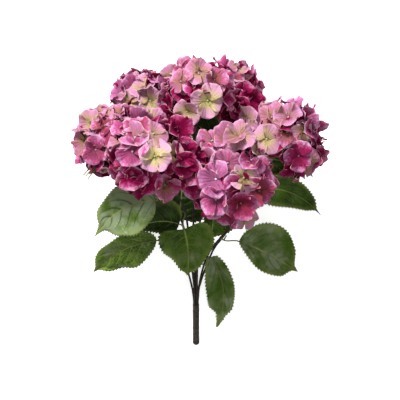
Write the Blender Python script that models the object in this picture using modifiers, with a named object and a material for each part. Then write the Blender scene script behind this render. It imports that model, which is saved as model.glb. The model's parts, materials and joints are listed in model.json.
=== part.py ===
"""Artificial hydrangea bunch, laid on its back: flower heads on stems from one sleeve, with leaves.

Metres, +Z up. The stems run along +Y from the sleeve's closed end, and +Z is the side that faces up.
The origin is at the bottom centre of the whole bunch. Run with: blender --background --python part.py
"""

import math
from collections import namedtuple

import bmesh
import bpy
from mathutils import Matrix, Vector

MM = 0.001
GAP = 0.3 * MM
BUNCH = "hydrangea_bunch"

# Sleeve that binds the stems, and how steeply the bundle rises from the surface towards the heads
LEAN = math.radians(25)
BUNDLE_DIR = Vector((0, math.cos(LEAN), math.sin(LEAN)))
BUNDLE_FRONT = Vector((0, -math.sin(LEAN), math.cos(LEAN)))
SLEEVE_RADIUS = 5.7 * MM
SLEEVE_END = Vector((-8 * MM, -238 * MM, SLEEVE_RADIUS * (1 - math.sin(LEAN))))
SLEEVE_LENGTH = 76 * MM
SLEEVE_BORE = 5.1 * MM
SLEEVE_FLOOR = 6 * MM
SLEEVE_RIDGES = 7
SLEEVE_RIDGE = 0.15 * MM
SLEEVE_STEPS = 20

# Stems
STEM_RADIUS = 1.5 * MM
STEM_PACKED = 0.93
STEM_OPEN = 1.08
STEM_RING = 2 * STEM_RADIUS * STEM_PACKED + 1.5 * GAP
STEM_POINTS = 13
KNOT = 1.45
KNOT_LENGTH = 0.016

# Flower heads: a dome of florets, hollow underneath, on a hub of pedicels
HEAD_RADIUS = 55 * MM
FLORET_SWELL = 4.5 * MM
FLORETS = 28
DOME_LIMIT = math.radians(118)
UNDERSIDE = -0.46 * HEAD_RADIUS
UNDERSIDE_SLOPE = 0.2
HOLLOW_RADIUS = 21.5 * MM
HOLLOW_DEPTH = 26 * MM
HUB_RADIUS = 4 * MM
HUB_DEPTH = 36 * MM
PEDICEL_RINGS = ((0, 1), (42, 5), (78, 6))
PEDICEL_TAPER = 0.6
PEDICEL_CLEARANCE = 1.3 * MM
STEM_TIP_DEPTH = HUB_DEPTH + HUB_RADIUS + GAP

# Leaves
LEAF_THICKNESS = 1.0 * MM
STALK_HALF_WIDTH = 1.1 * MM
STALK_ROWS = 4
BLADE_ROWS = 9
LEAF_HALF_COLUMNS = 2
TIP_HALF_WIDTH = 0.5 * MM

Head = namedtuple("Head", "centre size slot waypoints")
Leaf = namedtuple("Leaf", "stem at base tip facing minus plus bow cup sweep lobe drip")

# Each head's centre in the laid bunch, its size against the usual one, its stem's place in the bundle
# (None is the middle, a number counts sixths of a turn around it) and the points that its stem
# passes. Points are in millimetres. The two rear heads lie on the surface.
HEADS = {
    "top": Head((-6, 162, 191), 0.95, None, ((-12, -34, 90), (-8, 60, 140))),
    "right": Head((127, 91, 150), 1.1, 0, ((11, -88, 74), (58, -28, 106))),
    "front_right": Head((44, 30, 238), 1.12, 1, ((-5, -80, 80), (1, -26, 106))),
    "front_left": Head((-79, 66, 262), 1.05, 2, ((-17, -80, 76), (-28, -8, 110))),
    "left": Head((-138, 90, 150), 1.0, 3, ((-22, -112, 58), (-56, -24, 68))),
    "rear_left": Head((-92, 159, 55.3), 0.945, 4, ((-22, -70, 56), (-52, 40, 64))),
    "rear_right": Head((43.5, 169, 55.3), 0.945, 5, ((18, -84, 52), (46, -40, 64), (52, 60, 64))),
}
CROWN = Vector((-8, -49, 90)) * MM

# Each leaf's stem and how far up it the stalk starts, the blade's base and tip and the side that its
# upper face looks to, the width and fullness of its halves on the minus and plus side of the midrib,
# how much it bows, cups and sweeps sideways, how far its lobes reach back from its base, and
# where its drawn out tip starts and how narrow that is. A half with a low fullness is widest near its base.
# A half may have a third number, how blunt it is, where the usual is 0.85 and less is fuller at its ends.
LEAVES = {
    "left_upper": Leaf("left", 0.72, (-72, -1, 126), (-168, -58, 92), (-0.25, 0.15, 1), (35, 0.6), (47, 0.66),
                       0.25, 0.18, -0.45, 0.2, (0.72, 0.65)),
    "left_lower": Leaf("left", 0.36, (-71, -65, 88), (-173, -116, 60), (0.1, -0.6, 1), (28, 0.64), (35, 0.74),
                       0.3, 0.1, -0.6, 0.08, (0.78, 0.5)),
    "left_inner": Leaf("rear_left", 0.42, (-35, -38, 98), (-108, -50, 94), (0, 0, 1), (34, 0.6), (18, 0.6),
                       0.1, 0.1, -0.5, 0.2, (0.78, 0.5)),
    "front_centre": Leaf("front_left", 0.52, (-26, -45, 150), (-22, -118, 112), (0.05, -0.5, 1), (42, 0.42), (42, 0.42),
                         0.1, 0.15, 0.2, 0.3, (0.84, 0.3)),
    "mid_inner": Leaf("rear_left", 0.5, (-35, -29, 83), (-28, 36, 89), (0, 0, 1), (40, 0.5), (34, 0.5),
                      0.15, 0.1, 0, 0.25, (0.78, 0.6)),
    "right_inner": Leaf("rear_right", 0.52, (22, 6, 77), (16, -65, 72), (0.1, 0, 1), (16, 0.6), (41, 0.8),
                        0.15, 0.1, 0, 0.15, (0.78, 0.6)),
    "hanging": Leaf("right", 0.27, (16, -91, 92), (25, -205, 48), (0.1, -0.2, 1), (27, 0.85, 0.6), (16.5, 0.85, 0.4),
                    0.25, 0.15, 0.5, 0.15, (0.7, 0.6)),
    "right_lower": Leaf("right", 0.47, (60, -65, 106), (154, -114, 82), (0.1, 0.1, 1), (28, 1.05), (46, 0.78),
                        0.25, 0.22, 0.08, 0.05, (0.78, 0.6)),
    "right_upper": Leaf("right", 0.68, (85, 19, 112), (190, -24, 86), (0.2, -0.1, 1), (26, 0.55), (23, 0.6),
                        0.25, 0.12, 0.5, 0.15, (0.78, 0.7)),
    "right_outer": Leaf("rear_right", 0.62, (92, 76, 74), (150, 30, 74), (0.1, 0, 1), (22, 0.72), (22, 0.72),
                        0.15, 0.1, 0, 0.2, (0.78, 0.6)),
    "crown_centre": Leaf("top", 0.66, (34, 96, 132), (-30, 128, 124), (0, 0, 1), (26, 0.6), (26, 0.6),
                         0.2, 0.1, 0, 0.2, (0.78, 0.6)),
    "crown_left": Leaf("rear_left", 0.75, (-50, 80, 114), (-82, 142, 122), (0, -0.1, 1), (30, 0.72), (22, 0.72),
                       0.2, 0.1, 0, 0.2, (0.78, 0.6)),
    "rear_left": Leaf("rear_left", 0.58, (-50, 12, 42), (-128, 56, 22), (-0.2, -0.2, -1), (30, 0.72), (30, 0.72),
                      0.1, 0.08, 0, 0.2, (0.78, 0.6)),
    "rear_right": Leaf("rear_right", 0.57, (66, 4, 48), (132, 58, 24), (0.2, -0.2, -1), (30, 0.72), (30, 0.72),
                       0.1, 0.08, 0, 0.2, (0.78, 0.6)),
}

Finish = namedtuple("Finish", "colour roughness")
PETAL = Finish((0.62, 0.22, 0.40), 0.75)
PEDICEL = Finish((0.36, 0.42, 0.14), 0.6)
STEM = Finish((0.055, 0.045, 0.035), 0.5)
LEAF = Finish((0.09, 0.15, 0.04), 0.55)
SLEEVE = Finish((0.05, 0.045, 0.035), 0.7)


def millimetres(values):
    return Vector(values) * MM


def make_material(name, finish):
    material = bpy.data.materials.new(name)
    material.use_nodes = True
    shader = material.node_tree.nodes["Principled BSDF"]
    shader.inputs["Base Color"].default_value = (*finish.colour, 1)
    shader.inputs["Roughness"].default_value = finish.roughness
    material.diffuse_color = (*finish.colour, 1)
    return material


def add_part(name, data, finish, parent):
    """Put mesh or curve data in the bunch as a named object with its own material."""
    data.materials.append(make_material(name, finish))
    part = bpy.data.objects.new(name, data)
    bpy.data.collections[BUNCH].objects.link(part)
    part.parent = parent
    return part


def mesh_from(bm, name, smooth=True):
    mesh = bpy.data.meshes.new(name)
    bm.to_mesh(mesh)
    bm.free()
    if smooth:
        mesh.shade_smooth()
    return mesh


# Smooth lines

def cubic(start, end, leave, arrive, t):
    """Point at t on the cubic from start to end, with the given directions at its ends."""
    square = t * t
    cube = square * t
    point = start * (2 * cube - 3 * square + 1) + end * (3 * square - 2 * cube)
    return point + leave * (cube - 2 * square + t) + arrive * (cube - square)


def smooth_line(points, leave, arrive, steps):
    """Points on a smooth line through the given points, from the first to the last."""
    directions = [leave]
    for before, after in zip(points, points[2:]):
        directions.append((after - before).normalized())
    directions.append(arrive)
    line = [points[0]]
    for i in range(len(points) - 1):
        span = (points[i + 1] - points[i]).length
        for k in range(1, steps + 1):
            line.append(cubic(points[i], points[i + 1], directions[i] * span,
                              directions[i + 1] * span, k / steps))
    return line


def along(line, fraction):
    """Point and direction at a fraction of a line's length."""
    lengths = [(b - a).length for a, b in zip(line, line[1:])]
    left = fraction * sum(lengths)
    for a, b, length in zip(line, line[1:], lengths):
        if left <= length:
            return a.lerp(b, left / length), (b - a).normalized()
        left -= length
    return line[-1], (line[-1] - line[-2]).normalized()


# Heads

def head_direction(head):
    """The way a head's dome faces: away from the middle of the crown."""
    return (millimetres(head.centre) - CROWN).normalized()


def head_matrix(head):
    turn = head_direction(head).to_track_quat("Z", "X").to_matrix().to_4x4()
    return Matrix.Translation(millimetres(head.centre)) @ turn @ Matrix.Scale(head.size, 4)


def floret_directions():
    """Even directions over the dome, on a golden-angle spiral down to the dome's limit."""
    golden = math.pi * (3 - math.sqrt(5))
    lowest = math.cos(DOME_LIMIT)
    directions = []
    for i in range(FLORETS):
        z = 1 - (1 - lowest) * (i + 0.5) / FLORETS
        ring = math.sqrt(1 - z * z)
        directions.append(Vector((ring * math.cos(golden * i), ring * math.sin(golden * i), z)))
    return directions


def dome_mesh(name):
    """A ball that swells at each floret, with a shallow underside."""
    spread = math.radians(16)
    florets = floret_directions()
    bm = bmesh.new()
    bmesh.ops.create_uvsphere(bm, u_segments=20, v_segments=12, radius=1)
    for vertex in bm.verts:
        direction = vertex.co.normalized()
        nearest = min(direction.angle(floret) for floret in florets)
        swell = FLORET_SWELL * math.exp(-(nearest / spread) ** 2)
        point = direction * (HEAD_RADIUS + swell)
        if point.z < UNDERSIDE:
            point.z = UNDERSIDE + (point.z - UNDERSIDE) * UNDERSIDE_SLOPE
        vertex.co = point
    return mesh_from(bm, name)


def hollow_cutter(name, parent):
    """The hollow under a head, where its pedicels branch."""
    bm = bmesh.new()
    bmesh.ops.create_uvsphere(bm, u_segments=16, v_segments=8, radius=HOLLOW_RADIUS)
    cutter = bpy.data.objects.new(name + "_hollow", mesh_from(bm, name + "_hollow"))
    bpy.data.collections["cutters"].objects.link(cutter)
    cutter.parent = parent
    cutter.location = (0, 0, -HOLLOW_DEPTH)
    cutter.hide_render = True
    cutter.display_type = "WIRE"
    return cutter


def add_florets(name, seat):
    florets = add_part("florets_" + name, dome_mesh("florets_" + name), PETAL, seat)
    cut = florets.modifiers.new("hollow", "BOOLEAN")
    cut.operation = "DIFFERENCE"
    cut.solver = "EXACT"
    cut.object = hollow_cutter(name, seat)


def pedicel_directions():
    directions = []
    for tilt, count in PEDICEL_RINGS:
        for i in range(count):
            turn = 2 * math.pi * i / count
            side = math.sin(math.radians(tilt))
            directions.append(Vector((side * math.cos(turn), side * math.sin(turn),
                                      math.cos(math.radians(tilt)))))
    return directions


def hollow_wall(direction):
    """Where a pedicel from the hub stops, just short of the hollow's wall."""
    hub = Vector((0, 0, -HUB_DEPTH))
    offset = hub + Vector((0, 0, HOLLOW_DEPTH))
    along_it = offset.dot(direction)
    reach = (HOLLOW_RADIUS - PEDICEL_CLEARANCE) ** 2 - offset.length_squared + along_it ** 2
    return hub + direction * (math.sqrt(reach) - along_it)


def add_pedicels(name, seat):
    """A hub with pedicels drawn out of its faces towards the florets."""
    bm = bmesh.new()
    bmesh.ops.create_icosphere(bm, subdivisions=2, radius=HUB_RADIUS,
                               matrix=Matrix.Translation((0, 0, -HUB_DEPTH)))
    bm.faces.ensure_lookup_table()
    hub = Vector((0, 0, -HUB_DEPTH))
    free = list(bm.faces)
    chosen = []
    for direction in pedicel_directions():
        best = min(free, key=lambda face: (face.calc_center_median() - hub).angle(direction))
        free.remove(best)
        chosen.append((best, hollow_wall(direction)))
    for face, end in chosen:
        drawn = bmesh.ops.extrude_discrete_faces(bm, faces=[face])["faces"][0]
        middle = drawn.calc_center_median()
        for vertex in drawn.verts:
            vertex.co = end + (vertex.co - middle) * PEDICEL_TAPER
    add_part("pedicels_" + name, mesh_from(bm, "pedicels_" + name, smooth=False), PEDICEL, seat)


def add_head(name, head, bunch):
    seat = bpy.data.objects.new("seat_" + name, None)
    bpy.data.collections[BUNCH].objects.link(seat)
    seat.parent = bunch
    seat.matrix_local = head_matrix(head)
    add_florets(name, seat)
    add_pedicels(name, seat)


# Stems and sleeve

def bundle_offset(slot):
    """A stem's place in the bundle: in the middle, or in the ring around it."""
    if slot is None:
        return Vector((0, 0, 0))
    turn = math.radians(60) * slot
    return (Vector((1, 0, 0)) * math.cos(turn) + BUNDLE_FRONT * math.sin(turn)) * STEM_RING


def stem_line(head):
    """The open stretch of a stem, from the sleeve's mouth to the head's hub."""
    mouth = SLEEVE_END + BUNDLE_DIR * SLEEVE_LENGTH + bundle_offset(head.slot)
    facing = head_direction(head)
    tip = millimetres(head.centre) - facing * STEM_TIP_DEPTH * head.size
    points = [mouth] + [millimetres(point) for point in head.waypoints] + [tip]
    return smooth_line(points, BUNDLE_DIR, facing, 12)


def stem_samples(name):
    """Fractions of a stem where its tube has a point, with three close ones at each knot."""
    knots = [leaf.at for leaf in LEAVES.values() if leaf.stem == name]
    plain = [i / (STEM_POINTS - 1) for i in range(STEM_POINTS)]
    kept = [s for s in plain if all(abs(s - knot) > 2 * KNOT_LENGTH for knot in knots)]
    samples = [(s, STEM_OPEN if s > 0.05 else STEM_PACKED) for s in kept]
    for knot in knots:
        samples += [(knot - KNOT_LENGTH, STEM_OPEN), (knot, KNOT), (knot + KNOT_LENGTH, STEM_OPEN)]
    return sorted(samples)


def add_stem(name, head, bunch):
    line = stem_line(head)
    foot = SLEEVE_END + BUNDLE_DIR * (SLEEVE_FLOOR + GAP) + bundle_offset(head.slot)
    points = [(foot, STEM_PACKED)]
    points += [(along(line, s)[0], radius) for s, radius in stem_samples(name)]
    curve = bpy.data.curves.new("stem_" + name, "CURVE")
    curve.dimensions = "3D"
    curve.bevel_depth = STEM_RADIUS
    curve.bevel_resolution = 2
    curve.use_fill_caps = True
    spline = curve.splines.new("POLY")
    spline.points.add(len(points) - 1)
    for target, (position, radius) in zip(spline.points, points):
        target.co = (*position, 1)
        target.radius = radius
    add_part("stem_" + name, curve, STEM, bunch)


def sleeve_profile():
    """Up the bore, over the rim, down the ridged outer side and round the closed end."""
    profile = [(0, SLEEVE_FLOOR), (SLEEVE_BORE, SLEEVE_FLOOR), (SLEEVE_BORE, SLEEVE_LENGTH)]
    rows = 2 * SLEEVE_RIDGES
    for i in range(rows + 1):
        height = SLEEVE_LENGTH + (SLEEVE_RADIUS - SLEEVE_LENGTH) * i / rows
        profile.append((SLEEVE_RADIUS - SLEEVE_RIDGE * (i % 2), height))
    for degrees in (30, 60, 90):
        turn = math.radians(degrees)
        profile.append((SLEEVE_RADIUS * math.cos(turn), SLEEVE_RADIUS * (1 - math.sin(turn))))
    return profile


def add_sleeve(bunch):
    bm = bmesh.new()
    vertices = [bm.verts.new((x, 0, z)) for x, z in sleeve_profile()]
    for a, b in zip(vertices, vertices[1:]):
        bm.edges.new((a, b))
    sleeve = add_part("stem_sleeve", mesh_from(bm, "stem_sleeve", smooth=False), SLEEVE, bunch)
    sleeve.location = SLEEVE_END
    sleeve.rotation_euler = BUNDLE_DIR.to_track_quat("Z", "X").to_euler()
    turn = sleeve.modifiers.new("turn", "SCREW")
    turn.steps = SLEEVE_STEPS
    turn.render_steps = SLEEVE_STEPS
    turn.use_merge_vertices = True
    turn.merge_threshold = 0.00001


# Leaves

def blade_half_width(t, half, drip):
    """Width of one half of an ovate blade at t from its base, drawn out to a drip tip."""
    if t <= 0:
        return STALK_HALF_WIDTH
    width, fullness, blunt = half if len(half) == 3 else (*half, 0.85)
    egg = math.sin(math.pi * min(t, 1) ** fullness) ** blunt if t < 1 else 0
    start, strength = drip
    near_tip = min(max((t - start) / 0.14, 0), 1)
    narrow = 1 - strength * near_tip * near_tip * (3 - 2 * near_tip)
    return max(width * MM * egg * narrow, TIP_HALF_WIDTH if t > 0.5 else STALK_HALF_WIDTH)


def leaf_start(leaf):
    """Where a leaf's stalk leaves its stem's knot, and the way that it leaves."""
    point, direction = along(stem_line(HEADS[leaf.stem]), leaf.at)
    outward = millimetres(leaf.base) - point
    outward = (outward - direction * outward.dot(direction)).normalized()
    return point + outward * (STEM_RADIUS * KNOT + GAP), outward


def leaf_rows(leaf):
    """Centre, direction and place on the blade of each row, from the stem to the tip."""
    start, outward = leaf_start(leaf)
    base = millimetres(leaf.base)
    tip = millimetres(leaf.tip)
    facing = Vector(leaf.facing).normalized()
    blade = tip - base
    side = facing.cross(blade).normalized() * blade.length
    rise = facing * blade.length
    enter = blade + rise * leaf.bow + side * leaf.sweep
    leave = blade - rise * leaf.bow - side * leaf.sweep
    stalk = (base - start).length
    rows = []
    for i in range(STALK_ROWS):
        s = i / STALK_ROWS
        centre = cubic(start, base, outward * stalk, enter.normalized() * stalk, s)
        ahead = cubic(start, base, outward * stalk, enter.normalized() * stalk, s + 0.01)
        rows.append((centre, (ahead - centre).normalized(), 0))
    for i in range(BLADE_ROWS + 1):
        t = (i / BLADE_ROWS) ** 1.15
        centre = cubic(base, tip, enter, leave, t)
        ahead = cubic(base, tip, enter, leave, t + 0.01)
        rows.append((centre, (ahead - centre).normalized(), t))
    return rows


def leaf_point(leaf, row, across):
    """Point of a row, with across from -1 on one edge to 1 on the other."""
    centre, direction, t = row
    side = Vector(leaf.facing).cross(direction).normalized()
    up = direction.cross(side)
    half = blade_half_width(t, leaf.plus if across > 0 else leaf.minus, leaf.drip)
    back = 0
    if t > 0:
        back = leaf.lobe * half * max(0, 1 - t / 0.4) ** 2 * across * across
    lift = leaf.cup * half * abs(across) ** 1.5 if t > 0 else 0
    return centre + side * (across * half) + up * lift - direction * back


def add_leaf(name, leaf, bunch):
    bm = bmesh.new()
    columns = range(-LEAF_HALF_COLUMNS, LEAF_HALF_COLUMNS + 1)
    grid = []
    for row in leaf_rows(leaf):
        grid.append([bm.verts.new(leaf_point(leaf, row, c / LEAF_HALF_COLUMNS)) for c in columns])
    for lower, upper in zip(grid, grid[1:]):
        for a, b, c, d in zip(lower, lower[1:], upper[1:], upper):
            bm.faces.new((a, b, c, d))
    part = add_part("leaf_" + name, mesh_from(bm, "leaf_" + name), LEAF, bunch)
    shell = part.modifiers.new("thickness", "SOLIDIFY")
    shell.thickness = LEAF_THICKNESS
    shell.offset = 0


def centre_on_base(bunch):
    """Move the bunch so that the bottom centre of its box is the origin."""
    bpy.context.view_layer.update()
    graph = bpy.context.evaluated_depsgraph_get()
    points = []
    for part in bpy.data.collections[BUNCH].objects:
        if part.type != "EMPTY":
            mesh = part.evaluated_get(graph).to_mesh()
            points += [part.matrix_world @ vertex.co for vertex in mesh.vertices]
    low = [min(point[axis] for point in points) for axis in range(3)]
    high = [max(point[axis] for point in points) for axis in range(3)]
    bunch.location -= Vector(((low[0] + high[0]) / 2, (low[1] + high[1]) / 2, low[2]))


def main():
    for old in list(bpy.data.objects):
        bpy.data.objects.remove(old)
    for name in (BUNCH, "cutters"):
        bpy.context.scene.collection.children.link(bpy.data.collections.new(name))
    bunch = bpy.data.objects.new("bunch", None)
    bpy.data.collections[BUNCH].objects.link(bunch)
    add_sleeve(bunch)
    for name, head in HEADS.items():
        add_stem(name, head, bunch)
        add_head(name, head, bunch)
    for name, leaf in LEAVES.items():
        add_leaf(name, leaf, bunch)
    centre_on_base(bunch)


main()
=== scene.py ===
"""Looks of an artificial hydrangea bunch that lies on its back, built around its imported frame.

Metres, +Z up. The bunch lies along +Y, with its sleeve's closed end at -Y and its front facing up.
"""

import json
import math
import random
from collections import namedtuple

import bmesh
import bpy
from bpy.props import FloatProperty, FloatVectorProperty, IntProperty, PointerProperty
from mathutils import Matrix, Quaternion, Vector, noise

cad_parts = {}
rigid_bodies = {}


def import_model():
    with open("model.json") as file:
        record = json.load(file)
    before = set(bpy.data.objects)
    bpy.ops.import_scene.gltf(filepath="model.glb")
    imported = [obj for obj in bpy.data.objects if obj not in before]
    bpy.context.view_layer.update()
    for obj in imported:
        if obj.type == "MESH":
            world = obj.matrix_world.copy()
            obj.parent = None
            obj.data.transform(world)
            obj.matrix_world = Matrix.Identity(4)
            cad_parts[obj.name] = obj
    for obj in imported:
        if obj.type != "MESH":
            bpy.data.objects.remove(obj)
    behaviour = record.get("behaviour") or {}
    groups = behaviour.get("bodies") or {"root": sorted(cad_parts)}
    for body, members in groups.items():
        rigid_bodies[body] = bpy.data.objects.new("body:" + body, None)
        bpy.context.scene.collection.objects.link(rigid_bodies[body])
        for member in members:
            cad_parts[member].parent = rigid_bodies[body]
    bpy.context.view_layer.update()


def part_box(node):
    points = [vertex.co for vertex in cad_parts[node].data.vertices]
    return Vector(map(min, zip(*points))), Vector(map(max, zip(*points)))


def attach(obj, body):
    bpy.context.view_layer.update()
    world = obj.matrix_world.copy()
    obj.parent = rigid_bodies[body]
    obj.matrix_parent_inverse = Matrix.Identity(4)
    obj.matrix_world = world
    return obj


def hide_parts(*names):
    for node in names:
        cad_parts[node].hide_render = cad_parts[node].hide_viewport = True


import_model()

bl_info = {
    "name": "Hydrangea bunch",
    "version": (1, 0, 0),
    "blender": (4, 5, 0),
    "location": "3D View > Sidebar > Hydrangea",
    "description": "Builds the petals, leaves, stems and stage of an artificial hydrangea bunch",
    "category": "Object",
}

MM = 0.001
FULL_TURN = 2 * math.pi
BODY = "root"

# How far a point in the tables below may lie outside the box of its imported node
NEAR = 3 * MM

# The bundle, its stems and its heads, as the frame's solids have them
LEAN = math.radians(25)
BUNDLE_DIR = Vector((0, math.cos(LEAN), math.sin(LEAN)))
BUNDLE_FRONT = Vector((0, -math.sin(LEAN), math.cos(LEAN)))
SLEEVE_RADIUS = 5.7 * MM
SLEEVE_BORE = 5.1 * MM
SLEEVE_LENGTH = 76 * MM
SLEEVE_FLOOR = 6 * MM
STEM_RADIUS = 1.5 * MM
STEM_PACKED = 0.93
STEM_OPEN = 1.08
STEM_RING = 3.24 * MM
RING_PLACES = 6
KNOT = 1.45
KNOT_LENGTH = 0.0088
HEAD_RADIUS = 55 * MM
DOME_LIMIT = math.radians(118)
HUB_DEPTH = 36 * MM
STEM_TIP_DEPTH = 40.3 * MM

Head = namedtuple("Head", "centre size slot waypoints pale")
Leaf = namedtuple("Leaf", "stem at base tip facing minus plus bow cup sweep lobe drip tone vein")
Show = namedtuple("Show", "head x y size cream tint pattern reach", defaults=(1.0,))

# Each head's centre from the sleeve's place, its size, its stem's place in the bundle, the points
# that its stem passes, in millimetres, and how much paler its florets are than the others'.
HEADS = {
    "top": Head((-6, 162, 191), 0.95, None, ((-12, -34, 90), (-8, 60, 140)), 0.0),
    "right": Head((127, 91, 150), 1.1, 0, ((11, -88, 74), (58, -28, 106)), 0.0),
    "front_right": Head((44, 30, 238), 1.12, 1, ((-5, -80, 80), (1, -26, 106)), 0.02),
    "front_left": Head((-79, 66, 262), 1.05, 2, ((-17, -80, 76), (-28, -8, 110)), 0.08),
    "left": Head((-138, 90, 150), 1.0, 3, ((-22, -112, 58), (-56, -24, 68)), 0.0),
    "rear_left": Head((-92, 159, 55.3), 0.945, 4, ((-22, -70, 56), (-52, 40, 64)), 0.46),
    "rear_right": Head((43.5, 169, 55.3), 0.945, 5, ((18, -84, 52), (46, -40, 64), (52, 60, 64)), 0.0),
}
CROWN = Vector((-8, -49, 90)) * MM
SLEEVE_END = Vector((-8 * MM, -238 * MM, SLEEVE_RADIUS * (1 - math.sin(LEAN))))

# Each leaf's stem and how far up it the stalk starts, the blade's base and tip and the side that its
# upper face looks to, then the width and fullness of its halves on the minus and plus side of the
# midrib, with how blunt a half is where that isn't BLUNT, how much the blade bows, cups and sweeps
# sideways, how far its lobes reach back from its base, where its drawn out tip starts and how narrow
# that is, how pale it is, which is partly painted light, a sheen on the palest leaf and shade on the
# inner ones, and how pale its veins are, which also sets how dark the painted shade in its grooves is.
LEAVES = {
    "left_upper": Leaf("left", 0.72, (-72, -1, 126), (-168, -58, 92), (-0.25, 0.15, 1),
                       (35, 0.6), (47, 0.66), 0.25, 0.18, -0.45, 0.2, (0.72, 0.65), 1.0, 0.05),
    "left_lower": Leaf("left", 0.36, (-71, -65, 88), (-173, -116, 60), (0.1, -0.6, 1),
                       (28, 0.64), (35, 0.74), 0.3, 0.1, -0.6, 0.08, (0.78, 0.5), 0.7, 1.0),
    "left_inner": Leaf("rear_left", 0.42, (-35, -38, 98), (-108, -50, 94), (0, 0, 1),
                       (34, 0.6), (18, 0.6), 0.1, 0.1, -0.5, 0.2, (0.78, 0.5), -0.15, 0.4),
    "front_centre": Leaf("front_left", 0.52, (-26, -45, 150), (-22, -118, 112), (0.05, -0.5, 1),
                         (42, 0.42), (42, 0.42), 0.1, 0.15, 0.2, 0.3, (0.84, 0.3), 0.54, 0.72),
    "mid_inner": Leaf("rear_left", 0.5, (-35, -29, 83), (-28, 36, 89), (0, 0, 1),
                      (40, 0.5), (34, 0.5), 0.15, 0.1, 0, 0.25, (0.78, 0.6), -0.1, 0.4),
    "right_inner": Leaf("rear_right", 0.52, (22, 6, 77), (16, -65, 72), (0.1, 0, 1),
                        (16, 0.6), (41, 0.8), 0.15, 0.1, 0, 0.15, (0.78, 0.6), 0.25, 0.6),
    "hanging": Leaf("right", 0.27, (16, -91, 92), (25, -205, 48), (0.1, -0.2, 1),
                    (27, 0.85, 0.6), (16.5, 0.85, 0.4), 0.25, 0.15, 0.5, 0.15, (0.7, 0.6), 0.82, 0.4),
    "right_lower": Leaf("right", 0.47, (60, -65, 106), (154, -114, 82), (0.1, 0.1, 1),
                        (28, 1.05), (46, 0.78), 0.25, 0.22, 0.08, 0.05, (0.78, 0.6), 0.76, 0.45),
    "right_upper": Leaf("right", 0.68, (85, 19, 112), (190, -24, 86), (0.2, -0.1, 1),
                        (26, 0.55), (23, 0.6), 0.25, 0.12, 0.5, 0.15, (0.78, 0.7), 0.25, 0.5),
    "right_outer": Leaf("rear_right", 0.62, (92, 76, 74), (150, 30, 74), (0.1, 0, 1),
                        (22, 0.72), (22, 0.72), 0.15, 0.1, 0, 0.2, (0.78, 0.6), 0.5, 0.6),
    "crown_centre": Leaf("top", 0.66, (34, 96, 132), (-30, 128, 124), (0, 0, 1),
                         (26, 0.6), (26, 0.6), 0.2, 0.1, 0, 0.2, (0.78, 0.6), 0.05, 0.4),
    "crown_left": Leaf("rear_left", 0.75, (-50, 80, 114), (-82, 142, 122), (0, -0.1, 1),
                       (30, 0.72), (22, 0.72), 0.2, 0.1, 0, 0.2, (0.78, 0.6), 0.3, 0.5),
    "rear_left": Leaf("rear_left", 0.58, (-50, 12, 42), (-128, 56, 22), (-0.2, -0.2, -1),
                      (30, 0.72), (30, 0.72), 0.1, 0.08, 0, 0.2, (0.78, 0.6), 0.4, 0.5),
    "rear_right": Leaf("rear_right", 0.57, (66, 4, 48), (132, 58, 24), (0.2, -0.2, -1),
                       (30, 0.72), (30, 0.72), 0.1, 0.08, 0, 0.2, (0.78, 0.6), 0.4, 0.5),
}
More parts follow.
